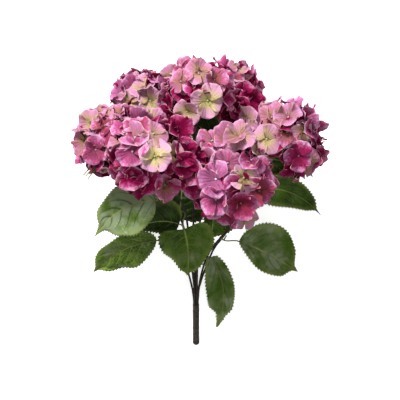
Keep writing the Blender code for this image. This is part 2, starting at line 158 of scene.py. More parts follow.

# Florets with a set place: the head, how far right and up on the face that looks up, the size, how
# cream its throat is, how pale it is, where low values at the heads' shaded edges are painted shade,
# and its pattern. The rest fill the dome between them.
SHOWN = (
    Show("top", 0.33, -0.30, 1.2, 1.0, 0.9, 0),
    Show("top", -0.30, -0.62, 0.95, 0.9, 0.8, 3),
    Show("top", -0.50, 0.30, 0.95, 0.3, 0.7, 2),
    Show("top", 0.05, 0.55, 1.0, 0.5, 0.75, 1),
    Show("top", 0.55, 0.35, 0.9, 0.2, 0.6, 4),
    Show("rear_left", 0.25, -0.05, 1.05, 0.85, 0.9, 1),
    Show("rear_left", -0.45, -0.10, 1.0, 0.8, 0.85, 0),
    Show("front_left", 0.24, -0.07, 1.05, 1.0, 0.5, 1),
    Show("front_left", -0.36, 0.06, 1.0, 0.0, 0.75, 0),
    Show("front_left", 0.20, 0.55, 0.95, 0.5, 0.8, 2),
    Show("left", -0.55, 0.52, 0.95, 0.8, 0.6, 1),
    Show("left", -0.42, -0.28, 1.0, 0.05, 0.7, 0),
    Show("front_right", -0.40, 0.0, 1.05, 0.0, 1.0, 0),
    Show("front_right", -0.10, 0.42, 0.95, 0.1, 0.85, 2),
    Show("front_right", -0.40, -0.52, 0.9, 0.0, 0.75, 3),
    Show("front_right", 0.24, -0.62, 0.95, 0.05, 0.3, 3),
    Show("front_right", 0.72, -0.30, 0.95, 0.1, 0.35, 1),
    Show("front_right", 0.32, -0.90, 0.8, 0.6, 0.95, 0, 1.12),
    Show("right", -0.50, 0.02, 1.0, 0.85, 0.8, 1),
    Show("right", 0.37, -0.44, 0.95, 0.0, 0.6, 0),
    Show("right", -0.35, 0.62, 1.0, 0.4, 0.7, 2),
    Show("right", -0.86, 0.42, 1.0, 0.7, 0.8, 1, 1.15),
    Show("right", -0.93, 0.22, 0.95, 0.5, 0.85, 2, 1.3),
    Show("right", -0.97, 0.05, 0.9, 0.0, 0.3, 3, 1.1),
    Show("front_right", -0.05, 0.93, 0.95, 0.3, 0.7, 4, 1.12),
    Show("front_right", 0.20, 0.92, 1.0, 0.6, 0.8, 1, 1.2),
    Show("front_right", -0.90, 0.20, 0.9, 0.1, 0.4, 3, 1.1),
    Show("front_right", -0.42, 0.88, 0.95, 0.15, 0.8, 0, 1.15),
    Show("front_right", -0.74, 0.62, 0.9, 0.0, 0.35, 0, 1.12),
    Show("front_right", -0.93, -0.12, 0.95, 0.0, 0.5, 2, 1.1),
    Show("front_left", 0.93, 0.05, 0.9, 0.0, 0.2, 3, 1.05),
    Show("front_left", 0.90, -0.25, 0.9, 0.0, 0.15, 5, 1.08),
    Show("front_left", 0.76, 0.58, 0.95, 0.0, 0.2, 3, 1.12),
    Show("front_left", 0.80, -0.52, 0.95, 0.0, 0.15, 1),
    Show("front_left", 0.50, -0.82, 0.95, 0.3, 0.3, 3),
    Show("top", -0.38, -0.88, 0.95, 0.0, 0.2, 5, 1.08),
    Show("top", -0.76, -0.62, 0.95, 0.0, 0.15, 3, 1.15),
    Show("rear_left", 0.80, -0.50, 0.95, 0.0, 0.2, 3),
    Show("rear_right", -0.05, -0.72, 1.0, 0.0, 0.15, 1),
    Show("rear_right", 0.35, -0.45, 1.0, 0.0, 0.1, 3),
    Show("rear_right", 0.70, -0.25, 1.0, 0.0, 0.05, 5),
)


def millimetres(values):
    """A point in metres from its three numbers in millimetres."""
    return Vector(values) * MM


def check_place(name, points):
    """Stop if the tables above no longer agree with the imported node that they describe."""
    low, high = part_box(name)
    for point in points:
        if any(not low[k] - NEAR <= point[k] <= high[k] + NEAR for k in range(3)):
            raise RuntimeError(f"{name} isn't where its table says")


def sleeve_shift():
    """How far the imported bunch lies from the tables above, read from its sleeve."""
    low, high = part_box("stem_sleeve")
    end = SLEEVE_END + BUNDLE_DIR * SLEEVE_RADIUS
    return Vector(((low.x + high.x) / 2 - end.x, low.y - (end.y - SLEEVE_RADIUS), low.z))


SHIFT = sleeve_shift()


# Settings that a user would change

class HydrangeaSettings(bpy.types.PropertyGroup):
    """Sizes and colours of the bunch."""

    florets: IntProperty(name="Florets", description="Florets in the outer layer of each head",
                         default=42, min=8)
    inner_florets: IntProperty(name="Inner florets", description="Florets in the inner layer of each head",
                               default=16, min=0)
    floret_radius: FloatProperty(name="Floret radius", description="From a floret's stud to a petal's rim",
                                 default=24.0 * MM, subtype="DISTANCE", unit="LENGTH")
    ruffle: FloatProperty(name="Ruffle", description="How far the cloth of a petal waves",
                          default=3.6 * MM, subtype="DISTANCE", unit="LENGTH")
    petal: FloatVectorProperty(name="Petal", description="Main colour of the petals", size=4, subtype="COLOR",
                               default=(0.36, 0.035, 0.14, 1), min=0, max=1)
    lilac: FloatVectorProperty(name="Lilac", description="Colour of a petal's outer part", size=4,
                               subtype="COLOR", default=(0.50, 0.20, 0.36, 1), min=0, max=1)
    # The throat colour is partly painted shade in the middle of each floret
    throat: FloatVectorProperty(name="Throat", description="Deep colour near a petal's base", size=4,
                                subtype="COLOR", default=(0.17, 0.003, 0.035, 1), min=0, max=1)
    cream: FloatVectorProperty(name="Cream", description="Pale centre of the two-coloured florets", size=4,
                               subtype="COLOR", default=(0.50, 0.43, 0.19, 1), min=0, max=1)
    rim: FloatVectorProperty(name="Rim", description="Thin pale rim of the petals", size=4, subtype="COLOR",
                             default=(0.70, 0.46, 0.42, 1), min=0, max=1)
    leaf: FloatVectorProperty(name="Leaf", description="Main colour of the leaves", size=4, subtype="COLOR",
                              default=(0.010, 0.028, 0.0004, 1), min=0, max=1)
    # The palest leaf colour is partly a painted sheen, standing in for the lamp's sheen on the leaf that
    # faces it
    leaf_pale_and_sheen: FloatVectorProperty(name="Leaf, pale", description="Colour of the palest leaves", size=4,
                                   subtype="COLOR", default=(0.20, 0.255, 0.135, 1), min=0, max=1)
    stem: FloatVectorProperty(name="Stem", description="Colour of the coated stems", size=4, subtype="COLOR",
                              default=(0.016, 0.010, 0.007, 1), min=0, max=1)
    sleeve: FloatVectorProperty(name="Sleeve", description="Colour of the moulded sleeve", size=4,
                                subtype="COLOR", default=(0.016, 0.011, 0.007, 1), min=0, max=1)
    pedicel: FloatVectorProperty(name="Pedicel", description="Colour of the pedicels under the florets",
                                 size=4, subtype="COLOR", default=(0.20, 0.22, 0.06, 1), min=0, max=1)


def settings():
    """The sizes and colours that are set in the panel."""
    return bpy.context.scene.hydrangea


# Node trees

def node(tree, kind, inputs=None, **options):
    """Add a node, set its options, and fill or link the inputs that are given by name or number."""
    made = tree.nodes.new(kind)
    for name, value in options.items():
        setattr(made, name, value)
    for key, value in (inputs or {}).items():
        if isinstance(value, bpy.types.NodeSocket):
            tree.links.new(value, made.inputs[key])
        else:
            made.inputs[key].default_value = value
    return made


def calc(tree, operation, *values, clamp=False):
    """The result of one Math node."""
    inputs = dict(enumerate(values))
    return node(tree, "ShaderNodeMath", inputs, operation=operation, use_clamp=clamp).outputs[0]


def times(tree, a, b):
    """The product of two values."""
    return calc(tree, "MULTIPLY", a, b)


def vector_calc(tree, operation, inputs):
    """The first result of one Vector Math node."""
    return node(tree, "ShaderNodeVectorMath", inputs, operation=operation).outputs[0]


def mix(tree, factor, a, b):
    """The result of mixing two colours."""
    return node(tree, "ShaderNodeMix", {0: factor, 6: a, 7: b}, data_type="RGBA").outputs[2]


def step(tree, value, low, high):
    """0 below low, 1 above high, and smooth between them."""
    made = node(tree, "ShaderNodeMapRange", {"Value": value, "From Min": low, "From Max": high},
                interpolation_type="SMOOTHSTEP")
    return made.outputs[0]


def ramp(tree, factor, stops):
    """A colour from a ramp with the given places and colours."""
    made = node(tree, "ShaderNodeValToRGB", {0: factor})
    elements = made.color_ramp.elements
    while len(elements) < len(stops):
        elements.new(0.5)
    for element, (place, colour) in zip(elements, stops):
        element.position = place
        element.color = colour
    return made.outputs[0]


def attribute(tree, name):
    """A number that the points of a piece carry, read in a material."""
    return node(tree, "ShaderNodeAttribute", attribute_name=name).outputs["Fac"]


def noise_at(tree, vector, scale, detail=2.0, roughness=0.5):
    """The value of one Noise node."""
    inputs = {"Vector": vector, "Scale": scale, "Detail": detail, "Roughness": roughness}
    return node(tree, "ShaderNodeTexNoise", inputs).outputs["Fac"]


def start_group(name, kind, inputs, outputs):
    """A node group with the given sockets: its tree, its input's outputs and its output node."""
    tree = bpy.data.node_groups.new(name, kind)
    for socket, socket_type, value in inputs:
        made = tree.interface.new_socket(socket, in_out="INPUT", socket_type=socket_type)
        if value is not None:
            made.default_value = value
    for socket, socket_type in outputs:
        tree.interface.new_socket(socket, in_out="OUTPUT", socket_type=socket_type)
    return tree, tree.nodes.new("NodeGroupInput").outputs, tree.nodes.new("NodeGroupOutput").inputs


def start_material(name):
    """A material with its tree, its Principled shader and its Object coordinates."""
    material = bpy.data.materials.new(name)
    material.use_nodes = True
    tree = material.node_tree
    shader = tree.nodes["Principled BSDF"]
    place = tree.nodes.new("ShaderNodeTexCoord").outputs["Object"]
    return material, tree, shader, place


# Shared effects

def cloth_group():
    """Woven cloth: mottled dye and a fine thread relief."""
    tree, given, result = start_group(
        "Cloth", "ShaderNodeTree",
        [("Place", "NodeSocketVector", None), ("Mottle Scale", "NodeSocketFloat", 60.0),
         ("Thread Scale", "NodeSocketFloat", 1500.0)],
        [("Mottle", "NodeSocketFloat"), ("Thread", "NodeSocketFloat")])
    mottle = noise_at(tree, given["Place"], given["Mottle Scale"], 3.0, 0.6)
    thread = noise_at(tree, given["Place"], given["Thread Scale"], 1.0)
    tree.links.new(mottle, result["Mottle"])
    tree.links.new(thread, result["Thread"])
    return tree


def moulding_group():
    """Moulded plastic: patchy colour, pits and a rough relief."""
    tree, given, result = start_group(
        "Moulding", "ShaderNodeTree",
        [("Place", "NodeSocketVector", None), ("Colour", "NodeSocketColor", (0.1, 0.1, 0.1, 1)),
         ("Worn", "NodeSocketColor", (0.2, 0.2, 0.2, 1)), ("Scale", "NodeSocketFloat", 250.0)],
        [("Colour", "NodeSocketColor"), ("Roughness", "NodeSocketFloat"), ("Relief", "NodeSocketFloat")])
    coarse = noise_at(tree, given["Place"], given["Scale"], 4.0, 0.65)
    fine = noise_at(tree, given["Place"], times(tree, given["Scale"], 5.0), 2.0)
    patches = calc(tree, "MULTIPLY_ADD", fine, 0.5, times(tree, coarse, 0.5))
    colour = mix(tree, step(tree, patches, 0.47, 0.62), given["Colour"], given["Worn"])
    rough = calc(tree, "MULTIPLY_ADD", fine, 0.3, 0.38)
    relief = calc(tree, "MULTIPLY_ADD", fine, 0.35, coarse)
    tree.links.new(colour, result["Colour"])
    tree.links.new(rough, result["Roughness"])
    tree.links.new(relief, result["Relief"])
    return tree


def shared(name, builder):
    """A node group that several pieces or materials use, built the first time that it is asked for."""
    return bpy.data.node_groups.get(name) or builder()


def cloth_at(tree, place, mottle_scale):
    """The shared cloth, placed in a material."""
    inputs = {"Place": place, "Mottle Scale": mottle_scale}
    return node(tree, "ShaderNodeGroup", inputs, node_tree=shared("Cloth", cloth_group)).outputs


def moulding_at(tree, place, scale, colour, worn):
    """The shared moulding, placed in a material."""
    inputs = {"Place": place, "Scale": scale, "Colour": colour, "Worn": worn}
    return node(tree, "ShaderNodeGroup", inputs, node_tree=shared("Moulding", moulding_group)).outputs


def relief(tree, shader, height, distance, strength=1.0):
    """Raise a surface by a height from its nodes."""
    bump = node(tree, "ShaderNodeBump", {"Height": height, "Distance": distance, "Strength": strength})
    tree.links.new(bump.outputs[0], shader.inputs["Normal"])


# Materials

# A leaf's side veins: how many pairs, how far they slope to the tip, and how they bow on the way
VEIN_PAIRS = 6.0
VEIN_SLOPE = 0.38
VEIN_BOW = 1.4


def petal_material():
    """Dyed cloth with a deep or cream throat, fine rays, a lilac outer part and a pale frayed rim, with
    painted shade and a painted highlight.
    """
    chosen = settings()
    violet = (0.60, 0.30, 0.56, 1)
    shadow = (0.12, 0.004, 0.025, 1)
    material, tree, shader, place = start_material("petal cloth")
    uv = node(tree, "ShaderNodeUVMap", uv_map="UVMap").outputs[0]
    across, along_petal, _ = node(tree, "ShaderNodeSeparateXYZ", {0: uv}).outputs
    cloth = cloth_at(tree, place, 70.0)
    tint = attribute(tree, "tint")
    wander = calc(tree, "MULTIPLY_ADD", cloth["Mottle"], 0.5, -0.25)
    fleck = calc(tree, "MULTIPLY_ADD", noise_at(tree, place, 230.0), 0.9, -0.45)
    spot = calc(tree, "ADD", calc(tree, "ADD", along_petal, wander), fleck)
    throat = tuple(chosen.throat)
    # Along the petal, partly dye and partly painted light: the dark throat is also painted shade in the
    # floret's middle, and the whitish last stop is a painted highlight.
    mauve = ramp(tree, spot, [(0.08, throat), (0.36, (0.235, 0.003, 0.050, 1)),
                              (0.66, tuple(chosen.petal)), (0.90, tuple(chosen.lilac)),
                              (1.0, (0.58, 0.29, 0.45, 1))])
    creamy = ramp(tree, spot, [(0.0, (0.26, 0.24, 0.07, 1)), (0.24, tuple(chosen.cream)),
                               (0.52, (0.52, 0.33, 0.31, 1)), (0.85, (0.56, 0.27, 0.43, 1))])
    # Dark-tinted florets take the dark ramp and pale ones turn violet: partly each floret's own colour,
    # partly painted shade inside the head and on the sides away from the lamps, and painted light on the
    # sides that face them.
    dark = ramp(tree, spot, [(0.05, (0.08, 0.001, 0.016, 1)), (0.60, (0.20, 0.004, 0.045, 1)),
                             (0.95, (0.34, 0.035, 0.13, 1))])
    colour = mix(tree, step(tree, tint, 0.48, 0.12), mauve, dark)
    colour = mix(tree, times(tree, step(tree, tint, 0.5, 1.0), 0.35), colour, violet)
    colour = mix(tree, attribute(tree, "cream"), colour, creamy)
    rays = calc(tree, "SINE", calc(tree, "MULTIPLY_ADD", across, 46.0, times(tree, wander, 9.0)))
    rays = calc(tree, "MULTIPLY_ADD", rays, 0.5, 0.5)
    ray_strength = times(tree, step(tree, along_petal, 1.05, 0.3), 0.34)
    plain = calc(tree, "MULTIPLY_ADD", attribute(tree, "cream"), -0.55, 1.0)
    ray_strength = times(tree, ray_strength, plain)
    colour = mix(tree, times(tree, rays, ray_strength), colour, throat)
    frayed = times(tree, step(tree, cloth["Mottle"], 0.42, 0.62), 0.72)
    rim = times(tree, step(tree, attribute(tree, "rim"), 0.89, 1.0), frayed)
    colour = mix(tree, rim, colour, tuple(chosen.rim))
    # Painted shade: petals that lie deep in the head are mixed most of the way to a dark magenta, where
    # florets shade each other.
    shade = times(tree, step(tree, attribute(tree, "depth"), 0.92, 0.62), 0.92)
    colour = mix(tree, shade, colour, mix(tree, 0.85, colour, shadow))
    tree.links.new(colour, shader.inputs["Base Color"])
    height = calc(tree, "MULTIPLY_ADD", rays, 0.5, times(tree, cloth["Thread"], 0.4))
    relief(tree, shader, height, 0.6 * MM)
    shader.inputs["Roughness"].default_value = 0.62
    shader.inputs["Specular IOR Level"].default_value = 0.02
    shader.inputs["Subsurface Weight"].default_value = 0.10
    shader.inputs["Subsurface Radius"].default_value = (1.0, 0.25, 0.5)
    shader.inputs["Subsurface Scale"].default_value = 1.5 * MM
    return material


def stud_material():
    """The small moulded bead in the middle of a floret: pearl on pale florets, dull mauve on darker ones,
    green on cream ones; the dull mauve on inner florets is painted shade.
    """
    material, tree, shader, place = start_material("floret stud")
    moulded = moulding_at(tree, place, 900.0, (0.78, 0.70, 0.80, 1), (0.60, 0.46, 0.62, 1))
    dull_and_shaded = (0.26, 0.07, 0.14, 1)
    green = (0.36, 0.38, 0.13, 1)
    # Darker-tinted florets get a dull mauve stud, which on the inner florets is painted shade
    pearl = mix(tree, step(tree, attribute(tree, "tint"), 0.6, 0.95), dull_and_shaded, moulded["Colour"])
    colour = mix(tree, attribute(tree, "cream"), pearl, green)
    tree.links.new(colour, shader.inputs["Base Color"])
    tree.links.new(moulded["Roughness"], shader.inputs["Roughness"])
    relief(tree, shader, moulded["Relief"], 0.2 * MM)
    return material


def plastic_material(name, colour, worn, scale, depth):
    """Moulded or coated plastic in one colour, with a worn tone and a relief of the given depth."""
    material, tree, shader, place = start_material(name)
    moulded = moulding_at(tree, place, scale, colour, worn)
    tree.links.new(moulded["Colour"], shader.inputs["Base Color"])
    tree.links.new(moulded["Roughness"], shader.inputs["Roughness"])
    relief(tree, shader, moulded["Relief"], depth)
    shader.inputs["Specular IOR Level"].default_value = 0.35
    return material


def leaf_material():
    """Pressed cloth with hollow side veins darkened by painted shade in their grooves, a paler midrib and net
    of veins, and a yellower margin.
    """
    chosen = settings()
    groove_shade_green = (0.008, 0.016, 0.002, 1)
    net_green = (0.17, 0.24, 0.045, 1)
    vein_green = (0.20, 0.27, 0.055, 1)
    midrib_green = (0.30, 0.36, 0.08, 1)
    sunny_green = (0.22, 0.28, 0.045, 1)
    material, tree, shader, place = start_material("leaf cloth")
    uv = node(tree, "ShaderNodeUVMap", uv_map="UVMap").outputs[0]
    across, along_leaf, _ = node(tree, "ShaderNodeSeparateXYZ", {0: uv}).outputs
    cloth = cloth_at(tree, place, 30.0)
    patchy = calc(tree, "MULTIPLY_ADD", cloth["Mottle"], 2.0, -1.02)
    # A leaf's tone picks its colour: partly its own tone, partly painted light, with a sheen on the palest
    # leaf and shade on the inner ones
    tone = calc(tree, "ADD", attribute(tree, "tone"), patchy, clamp=True)
    colour = ramp(tree, tone, [(0.0, tuple(chosen.leaf)), (0.55, (0.050, 0.118, 0.003, 1)),
                               (0.8, (0.11, 0.165, 0.040, 1)), (1.0, tuple(chosen.leaf_pale_and_sheen))])
    side = calc(tree, "ABSOLUTE", calc(tree, "MULTIPLY_ADD", across, 2.0, -1.0))
    bent = calc(tree, "MULTIPLY_ADD", cloth["Mottle"], 0.05, along_leaf)
    bow = calc(tree, "POWER", side, VEIN_BOW)
    lateral = times(tree, calc(tree, "MULTIPLY_ADD", bow, -VEIN_SLOPE, bent), VEIN_PAIRS)
    lateral = calc(tree, "PINGPONG", lateral, 0.5)
    groove = step(tree, lateral, 0.16, 0.015)
    vein = times(tree, step(tree, lateral, 0.065, 0.015), step(tree, side, 0.98, 0.3))
    midrib = step(tree, side, 0.050, 0.014)
    pale = attribute(tree, "vein")
    # Painted shade in the side veins' grooves, darkest on leaves whose veins aren't pale
    groove_shade = times(tree, groove, calc(tree, "MULTIPLY_ADD", pale, -0.6, 0.9))
    groove_shade = times(tree, groove_shade, step(tree, side, 0.95, 0.4))
    colour = mix(tree, groove_shade, colour, mix(tree, 0.75, colour, groove_shade_green))
    net = node(tree, "ShaderNodeTexVoronoi", {"Vector": place, "Scale": 225.0}, feature="DISTANCE_TO_EDGE")
    net = step(tree, net.outputs[0], 0.13, 0.02)
    net_strength = times(tree, calc(tree, "POWER", pale, 3.0), 0.85)
    colour = mix(tree, times(tree, net, net_strength), colour, net_green)
    colour = mix(tree, times(tree, vein, pale), colour, vein_green)
    colour = mix(tree, times(tree, midrib, 0.75), colour, midrib_green)
    sunny = calc(tree, "MULTIPLY_ADD", cloth["Mottle"], 2.4, -0.75, clamp=True)
    rim = times(tree, step(tree, side, 0.66, 1.0), sunny)
    colour = mix(tree, times(tree, rim, 0.8), colour, sunny_green)
    tip = times(tree, step(tree, along_leaf, 0.74, 1.0), 0.65)
    colour = mix(tree, tip, colour, sunny_green)
    tree.links.new(colour, shader.inputs["Base Color"])
    rough = calc(tree, "MULTIPLY_ADD", cloth["Mottle"], 0.3, 0.20)
    tree.links.new(rough, shader.inputs["Roughness"])
    height = calc(tree, "MULTIPLY_ADD", net, -0.5, times(tree, cloth["Thread"], 0.3))
    relief(tree, shader, height, 0.4 * MM, 0.8)
    shader.inputs["Specular IOR Level"].default_value = 0.18
    return material


# Smooth lines

SPAN_STEPS = 12


def cubic(start, end, leave, arrive, t):
    """Point at t on the cubic from start to end, with the given directions at its ends."""
    square = t * t
    cube = square * t
    point = start * (2 * cube - 3 * square + 1) + end * (3 * square - 2 * cube)
    return point + leave * (cube - 2 * square + t) + arrive * (cube - square)


def smooth_line(points, leave, arrive):
    """Points on a smooth line through the given points, from the first to the last."""
    directions = [leave]
    for before, after in zip(points, points[2:]):
        directions.append((after - before).normalized())
    directions.append(arrive)
    line = [points[0]]
    for i in range(len(points) - 1):
        span = (points[i + 1] - points[i]).length
        for k in range(1, SPAN_STEPS + 1):
            line.append(cubic(points[i], points[i + 1], directions[i] * span,
                              directions[i + 1] * span, k / SPAN_STEPS))
    return line


def along(line, fraction):
    """Point and direction at a fraction of a line's length."""
    lengths = [(b - a).length for a, b in zip(line, line[1:])]
    left = fraction * sum(lengths)
    for a, b, length in zip(line, line[1:], lengths):
        if left <= length:
            return a.lerp(b, left / length), (b - a).normalized()
        left -= length
    return line[-1], (line[-1] - line[-2]).normalized()


def head_centre(head):
    """The middle of a head's dome."""
    return millimetres(head.centre) + SHIFT


def head_direction(head):
    """The way a head's dome faces: away from the middle of the crown."""
    return (millimetres(head.centre) - CROWN).normalized()


def head_turn(head):
    """The turn that brings straight up to the way that a head faces."""
    return head_direction(head).to_track_quat("Z", "X")


def bundle_offset(slot):
    """A stem's place in the bundle: in the middle, or in the ring around it."""
    if slot is None:
        return Vector((0, 0, 0))
    turn = FULL_TURN / RING_PLACES * slot
    return (Vector((1, 0, 0)) * math.cos(turn) + BUNDLE_FRONT * math.sin(turn)) * STEM_RING


def stem_line(head):
    """The open stretch of a stem, from the sleeve's mouth to the head's hub."""
    mouth = SLEEVE_END + BUNDLE_DIR * SLEEVE_LENGTH + bundle_offset(head.slot)
    facing = head_direction(head)
    tip = millimetres(head.centre) - facing * STEM_TIP_DEPTH * head.size
    points = [mouth] + [millimetres(point) for point in head.waypoints] + [tip]
    return [point + SHIFT for point in smooth_line(points, BUNDLE_DIR, facing)]


# Making and finishing pieces

def new_object(name, data):
    """An object in the scene, at the origin."""
    made = bpy.data.objects.new(name, data)
    bpy.context.scene.collection.objects.link(made)
    return made


def finish_piece(piece, slot, *nodes):
    """Hand a finished piece to the frame."""
    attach(piece, BODY)
    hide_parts(*nodes)


def set_input(modifier, name, value):
    """Set a Geometry Nodes input by the name of its socket."""
    for item in modifier.node_group.interface.items_tree:
        if item.item_type == "SOCKET" and item.in_out == "INPUT" and item.name == name:
            modifier[item.identifier] = value
            return
    raise KeyError(name)


def make_plain(piece):
    """Turn a piece with its modifiers into a plain mesh."""
    piece.update_tag()
    bpy.context.view_layer.update()
    graph = bpy.context.evaluated_depsgraph_get()
    mesh = bpy.data.meshes.new_from_object(piece.evaluated_get(graph), preserve_all_data_layers=True,
                                           depsgraph=graph)
    old = piece.data
    piece.modifiers.clear()
    piece.data = mesh
    bpy.data.meshes.remove(old)
    mesh.name = piece.name


def grow(name, source, tree, inputs, sharp=None):
    """Run a Geometry Nodes tree on a source mesh and keep the result as a plain mesh object."""
    piece = new_object(name, source)
    modifier = piece.modifiers.new("grow", "NODES")
    modifier.node_group = tree
    for key, value in inputs.items():
        set_input(modifier, key, value)
    make_plain(piece)
    piece.data.shade_smooth()
    if sharp is not None:
        piece.data.set_sharp_from_angle(angle=math.radians(sharp))
    return piece


def points_mesh(name, points, attributes, lines=None):
    """A mesh of loose points or of lines, with the given values on its points."""
    mesh = bpy.data.meshes.new(name)
    mesh.from_pydata(points, lines or [], [])
    for key, (kind, values) in attributes.items():
        layer = mesh.attributes.new(key, kind, "POINT")
        if kind == "QUATERNION":
            layer.data.foreach_set("value", [number for value in values for number in value])
        else:
            layer.data.foreach_set("value", values)
    return mesh


# Florets

Pattern = namedtuple("Pattern", "rise spread curl cup seed")

# How a cut floret is pressed: how steeply its petals rise, how much they differ, how they curl on
# the way out and how much each is cupped across.
PATTERNS = (
    Pattern(0.12, 0.10, -0.10, 0.20, 3),
    Pattern(0.25, 0.22, -0.25, 0.25, 11),
    Pattern(-0.05, 0.20, -0.20, 0.15, 23),
    Pattern(0.55, 0.25, -0.15, 0.30, 37),
    Pattern(0.15, 0.35, 0.15, 0.10, 51),
    Pattern(0.80, 0.30, -0.30, 0.40, 67),
    Pattern(0.35, 0.45, -0.35, 0.25, 83),
    Pattern(-0.15, 0.30, -0.30, 0.25, 97),
)

# The patterns that lie open, which the sides of a head take
OPEN_PATTERNS = (0, 2, 4, 7)

# Parts of a petal's length
PETAL_HALF_WIDTH = 0.64
PETAL_THICKNESS = 0.013
PETAL_NECK = 0.58
RIM_RUFFLE = 0.05
FOLD_HALF_WIDTH = 0.14
STUD_RADIUS = 0.068

PETAL_CELLS = 9
PETALS = 4

Petal = namedtuple("Petal", "length turn rise curl cup fold twist lift waves")


def any_angle(source):
    """A random angle in a full turn."""
    return source.uniform(0, 6.3)


def disc(a, b):
    """A point of the unit disc for a point of the square from -1 to 1."""
    return a * math.sqrt(1 - b * b / 2), b * math.sqrt(1 - a * a / 2)


def petal_point(petal, a, b):
    """A petal's point, its UV and how near the rim it is; the petal runs from the stud along +Y."""
    x, y = disc(a, b)
    reach = math.hypot(x, y)
    angle = math.atan2(x, y)
    wobble = sum(size * math.sin(count * angle + phase) for size, count, phase in petal.waves)
    outward = 1 + wobble * reach ** 4
    x *= outward
    y = (y * outward + 1) / 2
    taper = PETAL_NECK + (1 - PETAL_NECK) * min(max(y / 0.6, 0), 1)
    across = x * PETAL_HALF_WIDTH * taper
    rise = petal.rise * y + petal.curl * y * y
    cup = petal.cup * x * x * min(y * 2, 1)
    ripple = math.sin(5 * angle + petal.waves[0][2] * 2) + 0.6 * math.sin(8 * angle)
    ruffle = RIM_RUFFLE * reach ** 4 * ripple
    fold = -petal.fold * math.exp(-(x / FOLD_HALF_WIDTH) ** 2) * y
    height = rise + cup + ruffle + fold + petal.twist * x + petal.lift * min(y * 3, 1)
    fan = math.atan2(across, y + 0.12)
    uv = (0.5 + fan / 1.7, min(max(y, 0), 1))
    rim = reach * min(max((y - 0.1) / 0.3, 0), 1)
    pull = 1 / math.sqrt(1 + (petal.rise + petal.curl) ** 2)
    return Vector((across, y * pull + 0.02, height)) * petal.length, uv, rim


def random_petal(pattern, number, source):
    """One petal of a pattern, a little unlike its neighbours."""
    waves = [(source.uniform(0.02, 0.06), 3, any_angle(source)),
             (source.uniform(0.02, 0.05), 5, any_angle(source)),
             (source.uniform(0.01, 0.025), 8, any_angle(source))]
    return Petal(
        length=source.uniform(0.86, 1.05),
        turn=FULL_TURN / PETALS * number + source.uniform(-0.16, 0.16),
        rise=pattern.rise + source.uniform(-pattern.spread, pattern.spread),
        curl=pattern.curl + source.uniform(-0.15, 0.15),
        cup=pattern.cup * source.uniform(0.2, 1.8),
        fold=source.uniform(-0.06, 0.16),
        twist=source.uniform(-0.26, 0.26),
        lift=0.04 * (number % 2) + source.uniform(-0.02, 0.03),
        waves=waves)


def floret_mesh(pattern):
    """Four petals cut from one piece of cloth, with a petal's length as the unit."""
    source = random.Random(pattern.seed)
    bm = bmesh.new()
    uv_layer = bm.loops.layers.uv.new("UVMap")
    rim_layer = bm.verts.layers.float.new("rim")
    for number in range(PETALS):
        petal = random_petal(pattern, number, source)
        turn = Matrix.Rotation(petal.turn, 3, "Z")
        grid = {}
        uvs = {}
        for i in range(PETAL_CELLS + 1):
            for j in range(PETAL_CELLS + 1):
                point, uv, rim = petal_point(petal, 2 * i / PETAL_CELLS - 1, 2 * j / PETAL_CELLS - 1)
                vertex = bm.verts.new(turn @ point)
                vertex[rim_layer] = rim
                grid[i, j] = vertex
                uvs[vertex] = uv
        for i in range(PETAL_CELLS):
            for j in range(PETAL_CELLS):
                corners = (grid[i, j], grid[i + 1, j], grid[i + 1, j + 1], grid[i, j + 1])
                for loop in bm.faces.new(corners).loops:
                    loop[uv_layer].uv = uvs[loop.vert]
    mesh = bpy.data.meshes.new("floret")
    bm.to_mesh(mesh)
    bm.free()
    return mesh


def stud_mesh():
    """The bead in a floret's middle, with four low lobes."""
    bm = bmesh.new()
    bmesh.ops.create_uvsphere(bm, u_segments=12, v_segments=6, radius=STUD_RADIUS)
    for vertex in bm.verts:
        lobe = 1 + 0.22 * math.cos(PETALS * math.atan2(vertex.co.y, vertex.co.x))
        vertex.co.x *= lobe
        vertex.co.y *= lobe
        vertex.co.z = vertex.co.z * 0.9 + 0.05
    mesh = bpy.data.meshes.new("stud")
    bm.to_mesh(mesh)
    bm.free()
    return mesh


def pattern_collection(name, meshes, thickness=None):
    """A collection outside the scene that holds one object for each pattern."""
    shelf = bpy.data.collections.new(name)
    for i, mesh in enumerate(meshes):
        made = bpy.data.objects.new(f"{name}_{i}", mesh)
        shelf.objects.link(made)
        if thickness is not None:
            wall = made.modifiers.new("wall", "SOLIDIFY")
            wall.thickness = thickness
            wall.offset = 0
    return shelf


def clear_collection(shelf):
    """Remove a collection with its objects and their meshes."""
    for made in list(shelf.objects):
        mesh = made.data
        bpy.data.objects.remove(made)
        bpy.data.meshes.remove(mesh)
    bpy.data.collections.remove(shelf)


def point_value(tree, name, kind):
    """A value that the points of a piece carry, read in Geometry Nodes."""
    return node(tree, "GeometryNodeInputNamedAttribute", {"Name": name}, data_type=kind).outputs[0]


